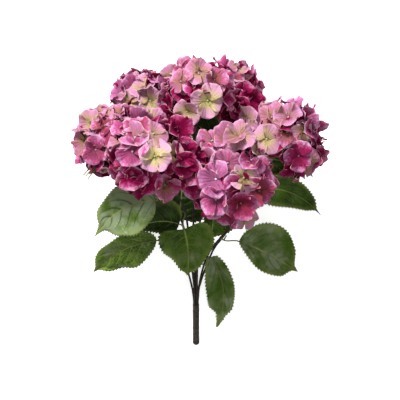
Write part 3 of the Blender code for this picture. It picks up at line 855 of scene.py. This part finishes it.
def head_tree():
    """Put a pattern on each point, then ruffle the rims, and measure how deep in the head they lie, which the
    petals' painted shade reads.
    """
    tree, given, result = start_group(
        "Flower head", "GeometryNodeTree",
        [("Sites", "NodeSocketGeometry", None), ("Patterns", "NodeSocketCollection", None),
         ("Petal Length", "NodeSocketFloat", 0.025), ("Ruffle", "NodeSocketFloat", 0.003),
         ("Ruffle Scale", "NodeSocketFloat", 66.0), ("Seed", "NodeSocketFloat", 0.0),
         ("Centre", "NodeSocketVector", None), ("Head Radius", "NodeSocketFloat", 0.055),
         ("Lowest", "NodeSocketFloat", 0.0004), ("Cloth", "NodeSocketMaterial", None)],
        [("Head", "NodeSocketGeometry")])
    length = times(tree, point_value(tree, "size", "FLOAT"), given["Petal Length"])
    shelf = node(tree, "GeometryNodeCollectionInfo",
                 {"Collection": given["Patterns"], "Separate Children": True, "Reset Children": True})
    placed = node(tree, "GeometryNodeInstanceOnPoints",
                  {"Points": given["Sites"], "Instance": shelf.outputs[0], "Pick Instance": True,
                   "Instance Index": point_value(tree, "pattern", "INT"),
                   "Rotation": point_value(tree, "turn", "QUATERNION"), "Scale": length})
    real = node(tree, "GeometryNodeRealizeInstances", {0: placed.outputs[0]})
    place = tree.nodes.new("GeometryNodeInputPosition").outputs[0]
    moved = vector_calc(tree, "ADD", {0: place, 1: given["Seed"]})
    wave = node(tree, "ShaderNodeTexNoise", {"Vector": moved, "Scale": given["Ruffle Scale"], "Detail": 2.0,
                                             "Roughness": 0.6}).outputs["Color"]
    wave = vector_calc(tree, "SUBTRACT", {0: wave, 1: (0.5, 0.5, 0.5)})
    rim = point_value(tree, "rim", "FLOAT")
    strength = times(tree, calc(tree, "POWER", rim, 2.0), given["Ruffle"])
    wave = vector_calc(tree, "SCALE", {0: wave, "Scale": strength})
    ruffled = node(tree, "GeometryNodeSetPosition", {"Geometry": real.outputs[0], "Offset": wave})
    place = tree.nodes.new("GeometryNodeInputPosition").outputs[0]
    x, y, z = node(tree, "ShaderNodeSeparateXYZ", {0: place}).outputs
    above = calc(tree, "MAXIMUM", z, given["Lowest"])
    held = node(tree, "ShaderNodeCombineXYZ", {0: x, 1: y, 2: above}).outputs[0]
    resting = node(tree, "GeometryNodeSetPosition", {"Geometry": ruffled.outputs[0], "Position": held})
    distance = node(tree, "ShaderNodeVectorMath", {0: place, 1: given["Centre"]}, operation="DISTANCE")
    depth = calc(tree, "DIVIDE", distance.outputs["Value"], given["Head Radius"])
    stored = node(tree, "GeometryNodeStoreNamedAttribute",
                  {"Geometry": resting.outputs[0], "Name": "depth", "Value": depth},
                  data_type="FLOAT", domain="POINT")
    dressed = node(tree, "GeometryNodeSetMaterial",
                   {"Geometry": stored.outputs[0], "Material": given["Cloth"]})
    tree.links.new(dressed.outputs[0], result["Head"])
    return tree


def tube_tree():
    """A round tube along each line of points, as thick as the points' radius says."""
    tree, given, result = start_group(
        "Tubes", "GeometryNodeTree",
        [("Lines", "NodeSocketGeometry", None), ("Sides", "NodeSocketInt", 8),
         ("Knobbly", "NodeSocketFloat", 0.0), ("Knob Scale", "NodeSocketFloat", 400.0),
         ("Coat", "NodeSocketMaterial", None)],
        [("Tubes", "NodeSocketGeometry")])
    line = node(tree, "GeometryNodeMeshToCurve", {"Mesh": given["Lines"]})
    ring = node(tree, "GeometryNodeCurvePrimitiveCircle", {"Resolution": given["Sides"], "Radius": 1.0})
    tube = node(tree, "GeometryNodeCurveToMesh",
                {"Curve": line.outputs[0], "Profile Curve": ring.outputs[0],
                 "Scale": point_value(tree, "thick", "FLOAT"), "Fill Caps": True})
    place = tree.nodes.new("GeometryNodeInputPosition").outputs[0]
    bump = node(tree, "ShaderNodeTexNoise", {"Vector": place, "Scale": given["Knob Scale"]}).outputs[0]
    bump = times(tree, calc(tree, "SUBTRACT", bump, 0.5), given["Knobbly"])
    normal = tree.nodes.new("GeometryNodeInputNormal").outputs[0]
    shift = vector_calc(tree, "SCALE", {0: normal, "Scale": bump})
    rough = node(tree, "GeometryNodeSetPosition", {"Geometry": tube.outputs[0], "Offset": shift})
    real = node(tree, "GeometryNodeRealizeInstances", {0: rough.outputs[0]})
    dressed = node(tree, "GeometryNodeSetMaterial", {"Geometry": real.outputs[0], "Material": given["Coat"]})
    tree.links.new(dressed.outputs[0], result["Tubes"])
    return tree


Site = namedtuple("Site", "centre normal spin size cream tint pattern")

# How far from the middle of a head its florets lie, for a head of size 1
SHOWN_RADIUS = 50 * MM
OUTER_RADIUS = 45.5 * MM
INNER_RADIUS = 37 * MM

# How close, as an angle, a filling floret comes to a set one, and how far it stays out of other heads
SPACING = 0.40
KEEP_OUT = 0.80

# How far florets differ from their place in the dome and their facing
PLACE_JITTER = 0.10
FACING_JITTER = 0.40

# Tint of a filling floret, how much it pales as painted light towards the crown's top and upwards, where the
# lamps are, and how it varies
MIDDLE_TINT = 0.42
PAINTED_LIGHT_ALONG = 0.30
PAINTED_LIGHT_UP = 0.10
TINT_JITTER = 0.27
# Inner florets get a low tint: painted shade inside the head
INNER_PAINTED_SHADE = 0.05

# The share of florets with no cream, and how fast the cream of the others grows
PLAIN_SHARE = 0.5
CREAM_GAIN = 1.8

# Florets that turn up or down less than this are open ones, and none lies lower than the last number
SIDE_ON = 0.45
LOWEST_SITE = 9 * MM

# How a set floret faces: partly away from the head's middle, partly straight up
OUTWARD_SHARE = 0.6
UPWARD_SHARE = 0.55


def golden_directions(count, limit):
    """Even directions on a golden-angle spiral, from straight up down to the limit."""
    golden = math.pi * (3 - math.sqrt(5))
    lowest = math.cos(limit)
    directions = []
    for i in range(count):
        z = 1 - (1 - lowest) * (i + 0.5) / count
        ring = math.sqrt(1 - z * z)
        directions.append(Vector((ring * math.cos(golden * i), ring * math.sin(golden * i), z)))
    return directions


def jitter(source, vector, amount):
    """A direction near the given one."""
    return (vector + Vector([source.uniform(-amount, amount) for _ in range(3)])).normalized()


def shown_sites(name, head, source):
    """The florets that have a set place on the side that looks up."""
    sites = []
    for shown in SHOWN:
        if shown.head != name:
            continue
        outward = Vector((shown.x, shown.y, math.sqrt(1 - shown.x ** 2 - shown.y ** 2)))
        normal = (outward * OUTWARD_SHARE + Vector((0, 0, UPWARD_SHARE))).normalized()
        centre = head_centre(head) + outward * SHOWN_RADIUS * head.size * shown.reach
        spin = any_angle(source)
        sites.append(Site(centre, normal, spin, shown.size, shown.cream, shown.tint, shown.pattern))
    return sites


def filling_sites(name, head, source, taken):
    """The outer layer between the set florets, and a darker layer under it."""
    chosen = settings()
    centre = head_centre(head)
    turn = head_turn(head)
    others = [(head_centre(other), HEAD_RADIUS * other.size) for key, other in HEADS.items() if key != name]
    kept = [(site.centre - centre).normalized() for site in taken]
    sites = []
    layers = ((chosen.florets, OUTER_RADIUS, False), (chosen.inner_florets, INNER_RADIUS, True))
    for count, radius, inner in layers:
        for direction in golden_directions(count, DOME_LIMIT):
            outward = jitter(source, turn @ direction, PLACE_JITTER)
            reach = radius * head.size * source.uniform(0.96, 1.07)
            spin = any_angle(source)
            look = source.random()
            # Paler towards the crown's top and upwards: painted light on the sides that face the lamps
            tint = MIDDLE_TINT + head.pale + PAINTED_LIGHT_ALONG * outward.y + PAINTED_LIGHT_UP * outward.z
            tint += source.uniform(-TINT_JITTER, TINT_JITTER)
            pattern = source.randrange(len(PATTERNS))
            if abs(outward.z) < SIDE_ON:
                pattern = OPEN_PATTERNS[pattern % len(OPEN_PATTERNS)]
            size = source.uniform(0.80, 1.0)
            normal = jitter(source, outward, FACING_JITTER)
            if not inner and any(outward.angle(other) < SPACING for other in kept):
                continue
            point = centre + outward * reach
            if any((point - other).length < other_radius * KEEP_OUT for other, other_radius in others):
                continue
            # Inner florets take the low tint of the painted shade and no cream
            if inner:
                tint = INNER_PAINTED_SHADE
                look = 0
            cream = max(look - PLAIN_SHARE, 0) * CREAM_GAIN
            if point.z < LOWEST_SITE:
                point.z = LOWEST_SITE
                normal = (normal + Vector((0, 0, -0.5))).normalized()
            sites.append(Site(point, normal, spin, size, cream, min(max(tint, 0), 1), pattern))
    return sites


def sites_mesh(name, sites):
    """A mesh of points that the flower head's tree puts florets on."""
    turns = []
    for site in sites:
        turn = site.normal.to_track_quat("Z", "Y") @ Quaternion((0, 0, 1), site.spin)
        turns.append(tuple(turn))
    values = {
        "pattern": ("INT", [site.pattern for site in sites]),
        "turn": ("QUATERNION", turns),
        "size": ("FLOAT", [site.size for site in sites]),
        "cream": ("FLOAT", [site.cream for site in sites]),
        "tint": ("FLOAT", [site.tint for site in sites]),
    }
    return points_mesh(name, [site.centre for site in sites], values)


def lines_mesh(name, lines):
    """A mesh of lines of points, each point with its thickness."""
    points = []
    edges = []
    thick = []
    for line in lines:
        first = len(points)
        for point, radius in line:
            points.append(point)
            thick.append(radius)
        edges += [(first + i, first + i + 1) for i in range(len(line) - 1)]
    return points_mesh(name, points, {"thick": ("FLOAT", thick)}, edges)


# The ways that pedicels without a floret point, and how far they reach past the head's radius
BARE = {"left": ((-0.60, -0.72, 0.1), (-0.50, -0.80, 0.1), (-0.56, -0.78, 0.3))}
BARE_REACH = 1.24

# Along a hub and how thick it is there, in millimetres
HUB_PROFILE = ((-4, 1.9), (-2, 3.4), (1, 3.9), (4, 2.4))

STALK_RADIUS = 1.0 * MM
STALK_STEPS = 8
STALK_SINK = 0.6 * MM

# A stem's samples, its small knots besides those of its leaves, and where it leaves the bundle
STEM_STEPS = 110
SMALL_KNOTS = 7
SPREAD_END = 0.05


def bare_line(head, hub, facing, outward):
    """A pedicel whose floret was left off."""
    outward = Vector(outward).normalized()
    end = head_centre(head) + outward * HEAD_RADIUS * head.size * BARE_REACH
    span = (end - hub).length
    steps = [k / STALK_STEPS for k in range(STALK_STEPS + 1)]
    return [(cubic(hub, end, facing * span, outward * span, s), STALK_RADIUS) for s in steps]


def pedicel_lines(name, head, sites):
    """A line from the hub to the underside of each floret, and a short thick one for the hub."""
    facing = head_direction(head)
    hub = head_centre(head) - facing * HUB_DEPTH * head.size
    lines = [[(hub + facing * place * MM, radius * MM) for place, radius in HUB_PROFILE]]
    lines += [bare_line(head, hub, facing, outward) for outward in BARE.get(name, ())]
    for site in sites:
        end = site.centre - site.normal * STALK_SINK
        span = (end - hub).length
        leave = (facing + (end - hub).normalized() * 1.5).normalized() * span
        arrive = (site.normal + (end - hub).normalized()).normalized() * span
        line = []
        for k in range(STALK_STEPS + 1):
            s = k / STALK_STEPS
            line.append((cubic(hub, end, leave, arrive, s), STALK_RADIUS * (1 - 0.3 * s)))
        lines.append(line)
    return lines


def stem_samples(name):
    """Fractions of a stem and the radius there, thicker at each leaf's knot and at a few small ones."""
    source = random.Random(name)
    knots = [(leaf.at, KNOT - STEM_OPEN) for leaf in LEAVES.values() if leaf.stem == name]
    knots += [(source.uniform(0.12, 0.95), source.uniform(0.08, 0.2)) for _ in range(SMALL_KNOTS)]
    samples = []
    for i in range(STEM_STEPS + 1):
        s = i / STEM_STEPS
        swell = sum(size * math.exp(-((s - at) / KNOT_LENGTH) ** 2) for at, size in knots)
        spread = min(s / SPREAD_END, 1)
        samples.append((s, STEM_PACKED + (STEM_OPEN - STEM_PACKED) * spread + swell * spread))
    return samples


def wire_line(name, head):
    """A stem's points and radii, from the sleeve's floor to the hub."""
    line = stem_line(head)
    foot = SLEEVE_END + SHIFT + BUNDLE_DIR * (SLEEVE_FLOOR + 0.3 * MM) + bundle_offset(head.slot)
    points = [(foot, STEM_RADIUS * STEM_PACKED)]
    return points + [(along(line, s)[0], radius * STEM_RADIUS) for s, radius in stem_samples(name)]


# Leaves

BLADE_STEPS = 120
BLADE_COLUMNS = 11
BLADE_THICKNESS = 0.55 * MM
BLUNT = 0.85
THINNEST_HALF = 0.35 * MM

# Shares of a blade's length: how far the lobes' curve runs up it, and how soon its tip gets narrow
LOBE_END = 0.4
NARROWING = 0.14

# Saw teeth: how long and deep they are, where along a tooth its point is, and how far it leans
TOOTH_LENGTH = 5.6 * MM
TOOTH_DEPTH = 2.9 * MM
TOOTH_POINT = 0.7
TOOTH_LEAN = 0.5

# Relief of the pressed cloth: along the midrib, on the margin, between the veins and all over, and
# how wide a half is where the relief has its full depth
MIDRIB_DEPTH = 2.0 * MM
MIDRIB_HALF_WIDTH = 2.6 * MM
MARGIN_WAVE = 2.6 * MM
PUCKER = 3.0 * MM
BUCKLE = 4.0 * MM
FULL_RELIEF = 12 * MM

# A petiole, its rib under the blade, and the cut stub of a leaf that was left out
PETIOLE_RADIUS = 1.1 * MM
PETIOLE_STEPS = 12
RIB_SINK = 1.44 * MM
RIB_STEPS = 24
RIB_END = 0.72
STUBBED = "right_lower"
STUB_STEP = 2


def blade_half_width(t, half, drip):
    """Width of one half of an ovate blade at t from its base, drawn out to a drip tip."""
    width, fullness, blunt = half if len(half) == 3 else (*half, BLUNT)
    egg = math.sin(math.pi * t ** fullness) ** blunt if 0 < t < 1 else 0
    start, strength = drip
    near_tip = min(max((t - start) / NARROWING, 0), 1)
    narrow = 1 - strength * near_tip * near_tip * (3 - 2 * near_tip)
    return max(width * MM * egg * narrow, THINNEST_HALF)


def leaf_start(leaf):
    """Where a leaf's stalk leaves its stem's knot, and the way that it leaves."""
    point, direction = along(stem_line(HEADS[leaf.stem]), leaf.at)
    outward = millimetres(leaf.base) + SHIFT - point
    outward = (outward - direction * outward.dot(direction)).normalized()
    return point + outward * STEM_RADIUS, outward


def leaf_ends(leaf):
    """A blade's base, tip, facing and the directions of its midrib at the base and the tip."""
    base = millimetres(leaf.base) + SHIFT
    tip = millimetres(leaf.tip) + SHIFT
    facing = Vector(leaf.facing).normalized()
    blade = tip - base
    side = facing.cross(blade).normalized() * blade.length
    rise = facing * blade.length
    enter = blade + rise * leaf.bow + side * leaf.sweep
    leave = blade - rise * leaf.bow - side * leaf.sweep
    return base, tip, facing, enter, leave


def blade_row(leaf, t):
    """The middle of a blade's row with its direction, its side and its upward direction."""
    base, tip, facing, enter, leave = leaf_ends(leaf)
    centre = cubic(base, tip, enter, leave, t)
    direction = (cubic(base, tip, enter, leave, t + 0.01) - centre).normalized()
    side = facing.cross(direction).normalized()
    return centre, direction, side, direction.cross(side)


def blade_point(leaf, row, s, t, phase):
    """A blade's point at s across, from -1 on one edge to 1 on the other, and t along."""
    centre, direction, side, up = row
    out = abs(s)
    half = blade_half_width(t, leaf.plus if s > 0 else leaf.minus, leaf.drip)
    wide = min(half / FULL_RELIEF, 1)
    back = leaf.lobe * half * max(0, 1 - t / LOBE_END) ** 2 * out * out
    lateral = (t - VEIN_SLOPE * out ** VEIN_BOW) * VEIN_PAIRS
    quilt = abs(math.sin(math.pi * lateral)) ** 0.5 - 0.7
    lift = leaf.cup * half * out ** 1.5
    lift += PUCKER * wide * quilt * math.sin(math.pi * min(out * 1.1 + 0.04, 1))
    lift -= MIDRIB_DEPTH * wide * math.exp(-(out * half / MIDRIB_HALF_WIDTH) ** 2)
    lift += MARGIN_WAVE * wide * out ** 2.5 * math.sin(13 * t + phase + (1.7 if s > 0 else 0))
    lift += BUCKLE * wide * noise.noise(Vector((s * 1.8, t * 4, phase)))
    return centre + side * (s * half) - direction * back + up * lift


def cut_teeth(edge, sign, ups):
    """The points of one margin, moved out into saw teeth that lean towards the tip."""
    gone = 0
    cut = [edge[0]]
    for i in range(1, len(edge) - 1):
        ahead = (edge[i + 1] - edge[i - 1]).normalized()
        gone += (edge[i] - edge[i - 1]).length
        saw = gone / TOOTH_LENGTH % 1
        t = i / (len(edge) - 1)
        fade = min(t / 0.04, 1) * min(max((0.92 - t) / 0.06, 0), 1)
        height = saw / TOOTH_POINT if saw < TOOTH_POINT else (1 - saw) / (1 - TOOTH_POINT)
        tooth = TOOTH_DEPTH * fade * height
        cut.append(edge[i] + (ups[i].cross(ahead) * sign + ahead * TOOTH_LEAN) * tooth)
    return cut + [edge[-1]]


def blade_mesh(name, leaf):
    """A toothed blade with pressed veins, puckered between them, with a wavy margin."""
    phase = any_angle(random.Random(name))
    spread = [1 - (1 - i / BLADE_COLUMNS) ** 1.2 for i in range(BLADE_COLUMNS + 1)]
    across = [-s for s in reversed(spread[1:])] + spread
    bm = bmesh.new()
    uv_layer = bm.loops.layers.uv.new("UVMap")
    tone_and_shading_layer = bm.verts.layers.float.new("tone")
    vein_layer = bm.verts.layers.float.new("vein")
    steps = [(i / BLADE_STEPS) ** 1.05 for i in range(BLADE_STEPS + 1)]
    rows = [blade_row(leaf, t) for t in steps]
    points = [[blade_point(leaf, row, s, t, phase) for s in across] for row, t in zip(rows, steps)]
    ups = [row[3] for row in rows]
    for column, sign in ((0, -1), (-1, 1)):
        for made, point in zip(points, cut_teeth([made[column] for made in points], sign, ups)):
            made[column] = point
    grid = []
    for made, t in zip(points, steps):
        vertices = []
        for point, s in zip(made, across):
            vertex = bm.verts.new(point)
            vertex[tone_and_shading_layer] = leaf.tone
            vertex[vein_layer] = leaf.vein
            vertices.append((vertex, ((s + 1) / 2, t)))
        grid.append(vertices)
    for lower, upper in zip(grid, grid[1:]):
        for a, b, c, d in zip(lower, lower[1:], upper[1:], upper):
            face = bm.faces.new([vertex for vertex, _ in (a, b, c, d)])
            for loop, (_, uv) in zip(face.loops, (a, b, c, d)):
                loop[uv_layer].uv = uv
    mesh = bpy.data.meshes.new(name)
    bm.to_mesh(mesh)
    bm.free()
    mesh.shade_smooth()
    return mesh


def petiole_line(leaf):
    """From the knot to the blade, then along the blade's underside as its rib."""
    start, outward = leaf_start(leaf)
    base, _, _, enter, _ = leaf_ends(leaf)
    stalk = (base - start).length
    line = []
    for k in range(PETIOLE_STEPS + 1):
        s = k / PETIOLE_STEPS
        point = cubic(start, base, outward * stalk, enter.normalized() * stalk, s)
        flare = 0.5 * math.exp(-(s / 0.08) ** 2)
        sink = blade_row(leaf, 0)[3] * RIB_SINK * s * s
        line.append((point - sink, PETIOLE_RADIUS * (1 + flare)))
    for k in range(1, RIB_STEPS + 1):
        s = k / RIB_STEPS
        centre, _, _, up = blade_row(leaf, RIB_END * s)
        line.append((centre - up * RIB_SINK, PETIOLE_RADIUS * (1 - 0.65 * s)))
    return line


def stub_line(petiole):
    """The cut end of a leaf that was left out, beside another's petiole."""
    foot, radius = petiole[STUB_STEP]
    tip = foot + Vector((4.5, 7.5, 1.5)) * MM
    return [(foot.lerp(tip, k / 4), radius * (1.1 - 0.05 * k)) for k in range(5)]


# Sleeve

SLEEVE_SIDES = 40
SLEEVE_STEPS = 96
SLEEVE_BANDS = 6.5
BAND_DEPTH = 0.55 * MM


def sleeve_rings():
    """Radius, height and roughness of each ring, from the closed end up the outside and down the bore."""
    rings = []
    for degrees in range(80, -1, -10):
        turn = math.radians(degrees)
        rings.append((SLEEVE_RADIUS * math.cos(turn), SLEEVE_RADIUS * (1 - math.sin(turn)), 0.4))
    for i in range(1, SLEEVE_STEPS):
        s = i / SLEEVE_STEPS
        band = abs(math.sin(math.pi * SLEEVE_BANDS * s)) ** 0.5
        height = SLEEVE_RADIUS + (SLEEVE_LENGTH - SLEEVE_RADIUS) * s
        rings.append((SLEEVE_RADIUS - BAND_DEPTH * (1 - band), height, 1))
    lip = (SLEEVE_RADIUS + SLEEVE_BORE) / 2
    rings += [(SLEEVE_RADIUS - 0.1 * MM, SLEEVE_LENGTH - 0.1 * MM, 0.5), (lip, SLEEVE_LENGTH, 0.1)]
    rings += [(SLEEVE_BORE, SLEEVE_LENGTH - 0.2 * MM, 0), (SLEEVE_BORE, SLEEVE_LENGTH - 12 * MM, 0)]
    rings += [(SLEEVE_BORE, SLEEVE_FLOOR, 0), (SLEEVE_BORE * 0.5, SLEEVE_FLOOR, 0)]
    return rings


def sleeve_mesh():
    """A moulded cup with shallow bands and a rough skin, on the bundle's line."""
    turn = BUNDLE_DIR.to_track_quat("Z", "X")
    foot = SLEEVE_END + SHIFT
    bm = bmesh.new()
    loops = []
    for radius, height, rough in sleeve_rings():
        loop = []
        for k in range(SLEEVE_SIDES):
            angle = FULL_TURN * k / SLEEVE_SIDES
            out = Vector((math.cos(angle), math.sin(angle), 0))
            rise = Vector((0, 0, height))
            spot = out * radius + rise
            knob = noise.noise(spot * 420) * 0.35 + noise.noise(spot * 1100) * 0.25
            worn = radius + (knob - 0.3) * 1.5 * MM * rough
            loop.append(bm.verts.new(foot + turn @ (out * worn + rise)))
        loops.append(loop)
    for below, above in zip(loops, loops[1:]):
        for k in range(SLEEVE_SIDES):
            after = (k + 1) % SLEEVE_SIDES
            bm.faces.new((below[k], below[after], above[after], above[k]))
    for loop, height in ((loops[0], 0), (loops[-1], SLEEVE_FLOOR)):
        pole = bm.verts.new(foot + BUNDLE_DIR * height)
        for k in range(SLEEVE_SIDES):
            bm.faces.new((loop[k], loop[(k + 1) % SLEEVE_SIDES], pole))
    bmesh.ops.recalc_face_normals(bm, faces=bm.faces)
    mesh = bpy.data.meshes.new("sleeve_moulded")
    bm.to_mesh(mesh)
    bm.free()
    mesh.shade_smooth()
    return mesh


# Stage

FLOOR_SIDE = 16.0
FLOOR_GLOW = 0.72
WORLD_LIGHT = 0.22
WALL_GLOW = 0.95

Lamp = namedtuple("Lamp", "place size power")
LAMPS = (
    Lamp((-0.7, 1.3, 1.5), 0.6, 62.0),
    Lamp((0.3, -0.2, 2.2), 1.0, 14.0),
)
LAMP_TARGET = Vector((0, 0, 0.12))
LENS = 129.4
CAMERA_PLACE = (-1.5, 0, 2370)


def make_floor():
    """A wide pale floor."""
    material, tree, shader, place = start_material("studio floor")
    grain = noise_at(tree, place, 3.0)
    colour = mix(tree, grain, (0.90, 0.90, 0.90, 1), (0.94, 0.94, 0.94, 1))
    tree.links.new(colour, shader.inputs["Base Color"])
    shader.inputs["Roughness"].default_value = 0.9
    shader.inputs["Specular IOR Level"].default_value = 0.1
    seen = tree.nodes.new("ShaderNodeLightPath").outputs["Is Camera Ray"]
    shader.inputs["Emission Color"].default_value = (1, 1, 1, 1)
    tree.links.new(times(tree, seen, FLOOR_GLOW), shader.inputs["Emission Strength"])
    mesh = bpy.data.meshes.new("floor")
    side = FLOOR_SIDE / 2
    corners = [(-side, -side, 0), (side, -side, 0), (side, side, 0), (-side, side, 0)]
    mesh.from_pydata(corners, [], [(0, 1, 2, 3)])
    mesh.materials.append(material)
    new_object("floor", mesh)


def make_light():
    """Soft white surroundings, a key light from above the crown and a weak fill."""
    world = bpy.data.worlds.new("studio")
    world.use_nodes = True
    tree = world.node_tree
    dim = tree.nodes["Background"]
    dim.inputs["Color"].default_value = (1.0, 1.0, 1.0, 1)
    dim.inputs["Strength"].default_value = WORLD_LIGHT
    wall = node(tree, "ShaderNodeBackground", {"Color": (1.0, 1.0, 1.0, 1), "Strength": WALL_GLOW})
    seen = tree.nodes.new("ShaderNodeLightPath").outputs["Is Camera Ray"]
    both = node(tree, "ShaderNodeMixShader", {0: seen, 1: dim.outputs[0], 2: wall.outputs[0]})
    tree.links.new(both.outputs[0], tree.nodes["World Output"].inputs[0])
    bpy.context.scene.world = world
    for number, lamp in enumerate(LAMPS):
        data = bpy.data.lights.new(f"lamp_{number}", "AREA")
        data.size = lamp.size
        data.energy = lamp.power
        made = new_object(f"lamp_{number}", data)
        made.location = lamp.place
        made.rotation_euler = (LAMP_TARGET - made.location).to_track_quat("-Z", "Y").to_euler()


def make_camera():
    """A long lens that looks straight down on the laid bunch."""
    data = bpy.data.cameras.new("camera")
    data.lens = LENS
    data.clip_end = 50
    camera = new_object("camera", data)
    camera.location = millimetres(CAMERA_PLACE) + SHIFT
    bpy.context.scene.camera = camera


# Operators

class HYDRANGEA_OT_sleeve(bpy.types.Operator):
    """Make the moulded sleeve that holds the stems together."""

    bl_idname = "hydrangea.sleeve"
    bl_label = "Sleeve"

    def execute(self, context):
        worn = (0.16, 0.135, 0.10, 1)
        skin = plastic_material("sleeve plastic", tuple(settings().sleeve), worn, 420.0, 0.9 * MM)
        mesh = sleeve_mesh()
        mesh.materials.append(skin)
        finish_piece(new_object("sleeve_moulded", mesh), "sleeve", "stem_sleeve")
        return {"FINISHED"}


class HYDRANGEA_OT_stems(bpy.types.Operator):
    """Make the coated wire stems, each with the knots where its leaves start."""

    bl_idname = "hydrangea.stems"
    bl_label = "Stems"

    def execute(self, context):
        tree = shared("Tubes", tube_tree)
        worn = (0.07, 0.052, 0.036, 1)
        coat = plastic_material("stem coat", tuple(settings().stem), worn, 330.0, 0.7 * MM)
        for name, head in HEADS.items():
            source = lines_mesh("wire_" + name, [wire_line(name, head)])
            piece = grow("wire_" + name, source, tree,
                         {"Sides": 12, "Knobbly": 0.9 * MM, "Knob Scale": 330.0, "Coat": coat}, sharp=50)
            finish_piece(piece, "stems", "stem_" + name)
        return {"FINISHED"}


class HYDRANGEA_OT_heads(bpy.types.Operator):
    """Make the seven flower heads: petals, studs, and the pedicels under them."""

    bl_idname = "hydrangea.heads"
    bl_label = "Flower heads"

    def execute(self, context):
        chosen = settings()
        tree = shared("Flower head", head_tree)
        tubes = shared("Tubes", tube_tree)
        cloth = petal_material()
        bead = stud_material()
        worn = (0.13, 0.10, 0.04, 1)
        green = plastic_material("pedicel plastic", tuple(chosen.pedicel), worn, 200.0, 0.3 * MM)
        cut = [floret_mesh(pattern) for pattern in PATTERNS]
        florets = pattern_collection("floret", cut, PETAL_THICKNESS)
        studs = pattern_collection("stud", [stud_mesh()])
        for number, (name, head) in enumerate(HEADS.items()):
            source = random.Random(101 + number)
            sites = shown_sites(name, head, source)
            sites += filling_sites(name, head, source, sites)
            centre = head_centre(head)
            check_place("florets_" + name, [centre])
            common = {"Petal Length": chosen.floret_radius * head.size, "Centre": tuple(centre),
                      "Head Radius": HEAD_RADIUS * head.size, "Seed": number * 0.37}
            petals = grow("petals_" + name, sites_mesh("petals_" + name, sites), tree,
                          {**common, "Patterns": florets, "Ruffle": chosen.ruffle, "Cloth": cloth})
            finish_piece(petals, "petals", "florets_" + name)
            flat = [site._replace(pattern=0) for site in sites]
            beads = grow("studs_" + name, sites_mesh("studs_" + name, flat), tree,
                         {**common, "Patterns": studs, "Ruffle": 0.0, "Cloth": bead})
            finish_piece(beads, "petals", "florets_" + name)
            lines = lines_mesh("stalks_" + name, pedicel_lines(name, head, sites))
            stalks = grow("stalks_" + name, lines, tubes, {"Sides": 6, "Coat": green}, sharp=60)
            finish_piece(stalks, "pedicels", "pedicels_" + name)
        clear_collection(florets)
        clear_collection(studs)
        return {"FINISHED"}


class HYDRANGEA_OT_leaves(bpy.types.Operator):
    """Make the leaves: a veined cloth blade on a petiole that runs on under it as a rib."""

    bl_idname = "hydrangea.leaves"
    bl_label = "Leaves"

    def execute(self, context):
        cloth = leaf_material()
        tubes = shared("Tubes", tube_tree)
        worn = (0.10, 0.10, 0.04, 1)
        green = plastic_material("petiole plastic", (0.20, 0.22, 0.08, 1), worn, 260.0, 0.3 * MM)
        for name, leaf in LEAVES.items():
            check_place("leaf_" + name, leaf_ends(leaf)[:2])
            piece = new_object("blade_" + name, blade_mesh("blade_" + name, leaf))
            piece.data.materials.append(cloth)
            wall = piece.modifiers.new("wall", "SOLIDIFY")
            wall.thickness = BLADE_THICKNESS
            wall.offset = -1
            make_plain(piece)
            finish_piece(piece, "leaves", "leaf_" + name)
            strips = [petiole_line(leaf)]
            if name == STUBBED:
                strips.append(stub_line(strips[0]))
            lines = lines_mesh("petiole_" + name, strips)
            petiole = grow("petiole_" + name, lines, tubes, {"Sides": 8, "Coat": green}, sharp=60)
            finish_piece(petiole, "leaves", "leaf_" + name)
        return {"FINISHED"}


class HYDRANGEA_OT_stage(bpy.types.Operator):
    """Make the floor, the light and the camera that looks straight down on the laid bunch."""

    bl_idname = "hydrangea.stage"
    bl_label = "Stage"

    def execute(self, context):
        make_floor()
        make_light()
        make_camera()
        context.scene.view_settings.view_transform = "Standard"
        return {"FINISHED"}


class HYDRANGEA_PT_panel(bpy.types.Panel):
    """The steps of the bunch and their settings."""

    bl_label = "Hydrangea bunch"
    bl_space_type = "VIEW_3D"
    bl_region_type = "UI"
    bl_category = "Hydrangea"

    def draw(self, context):
        for name in HydrangeaSettings.__annotations__:
            self.layout.prop(context.scene.hydrangea, name)
        for operator in OPERATORS:
            self.layout.operator(operator.bl_idname)


OPERATORS = (HYDRANGEA_OT_sleeve, HYDRANGEA_OT_stems, HYDRANGEA_OT_heads, HYDRANGEA_OT_leaves,
             HYDRANGEA_OT_stage)
CLASSES = (HydrangeaSettings,) + OPERATORS + (HYDRANGEA_PT_panel,)


def register():
    for made in CLASSES:
        bpy.utils.register_class(made)
    bpy.types.Scene.hydrangea = PointerProperty(type=HydrangeaSettings)


def unregister():
    del bpy.types.Scene.hydrangea
    for made in reversed(CLASSES):
        bpy.utils.unregister_class(made)


def main():
    register()
    bpy.ops.hydrangea.sleeve()
    bpy.ops.hydrangea.stems()
    bpy.ops.hydrangea.heads()
    bpy.ops.hydrangea.leaves()
    bpy.ops.hydrangea.stage()


if __name__ == "__main__":
    main()
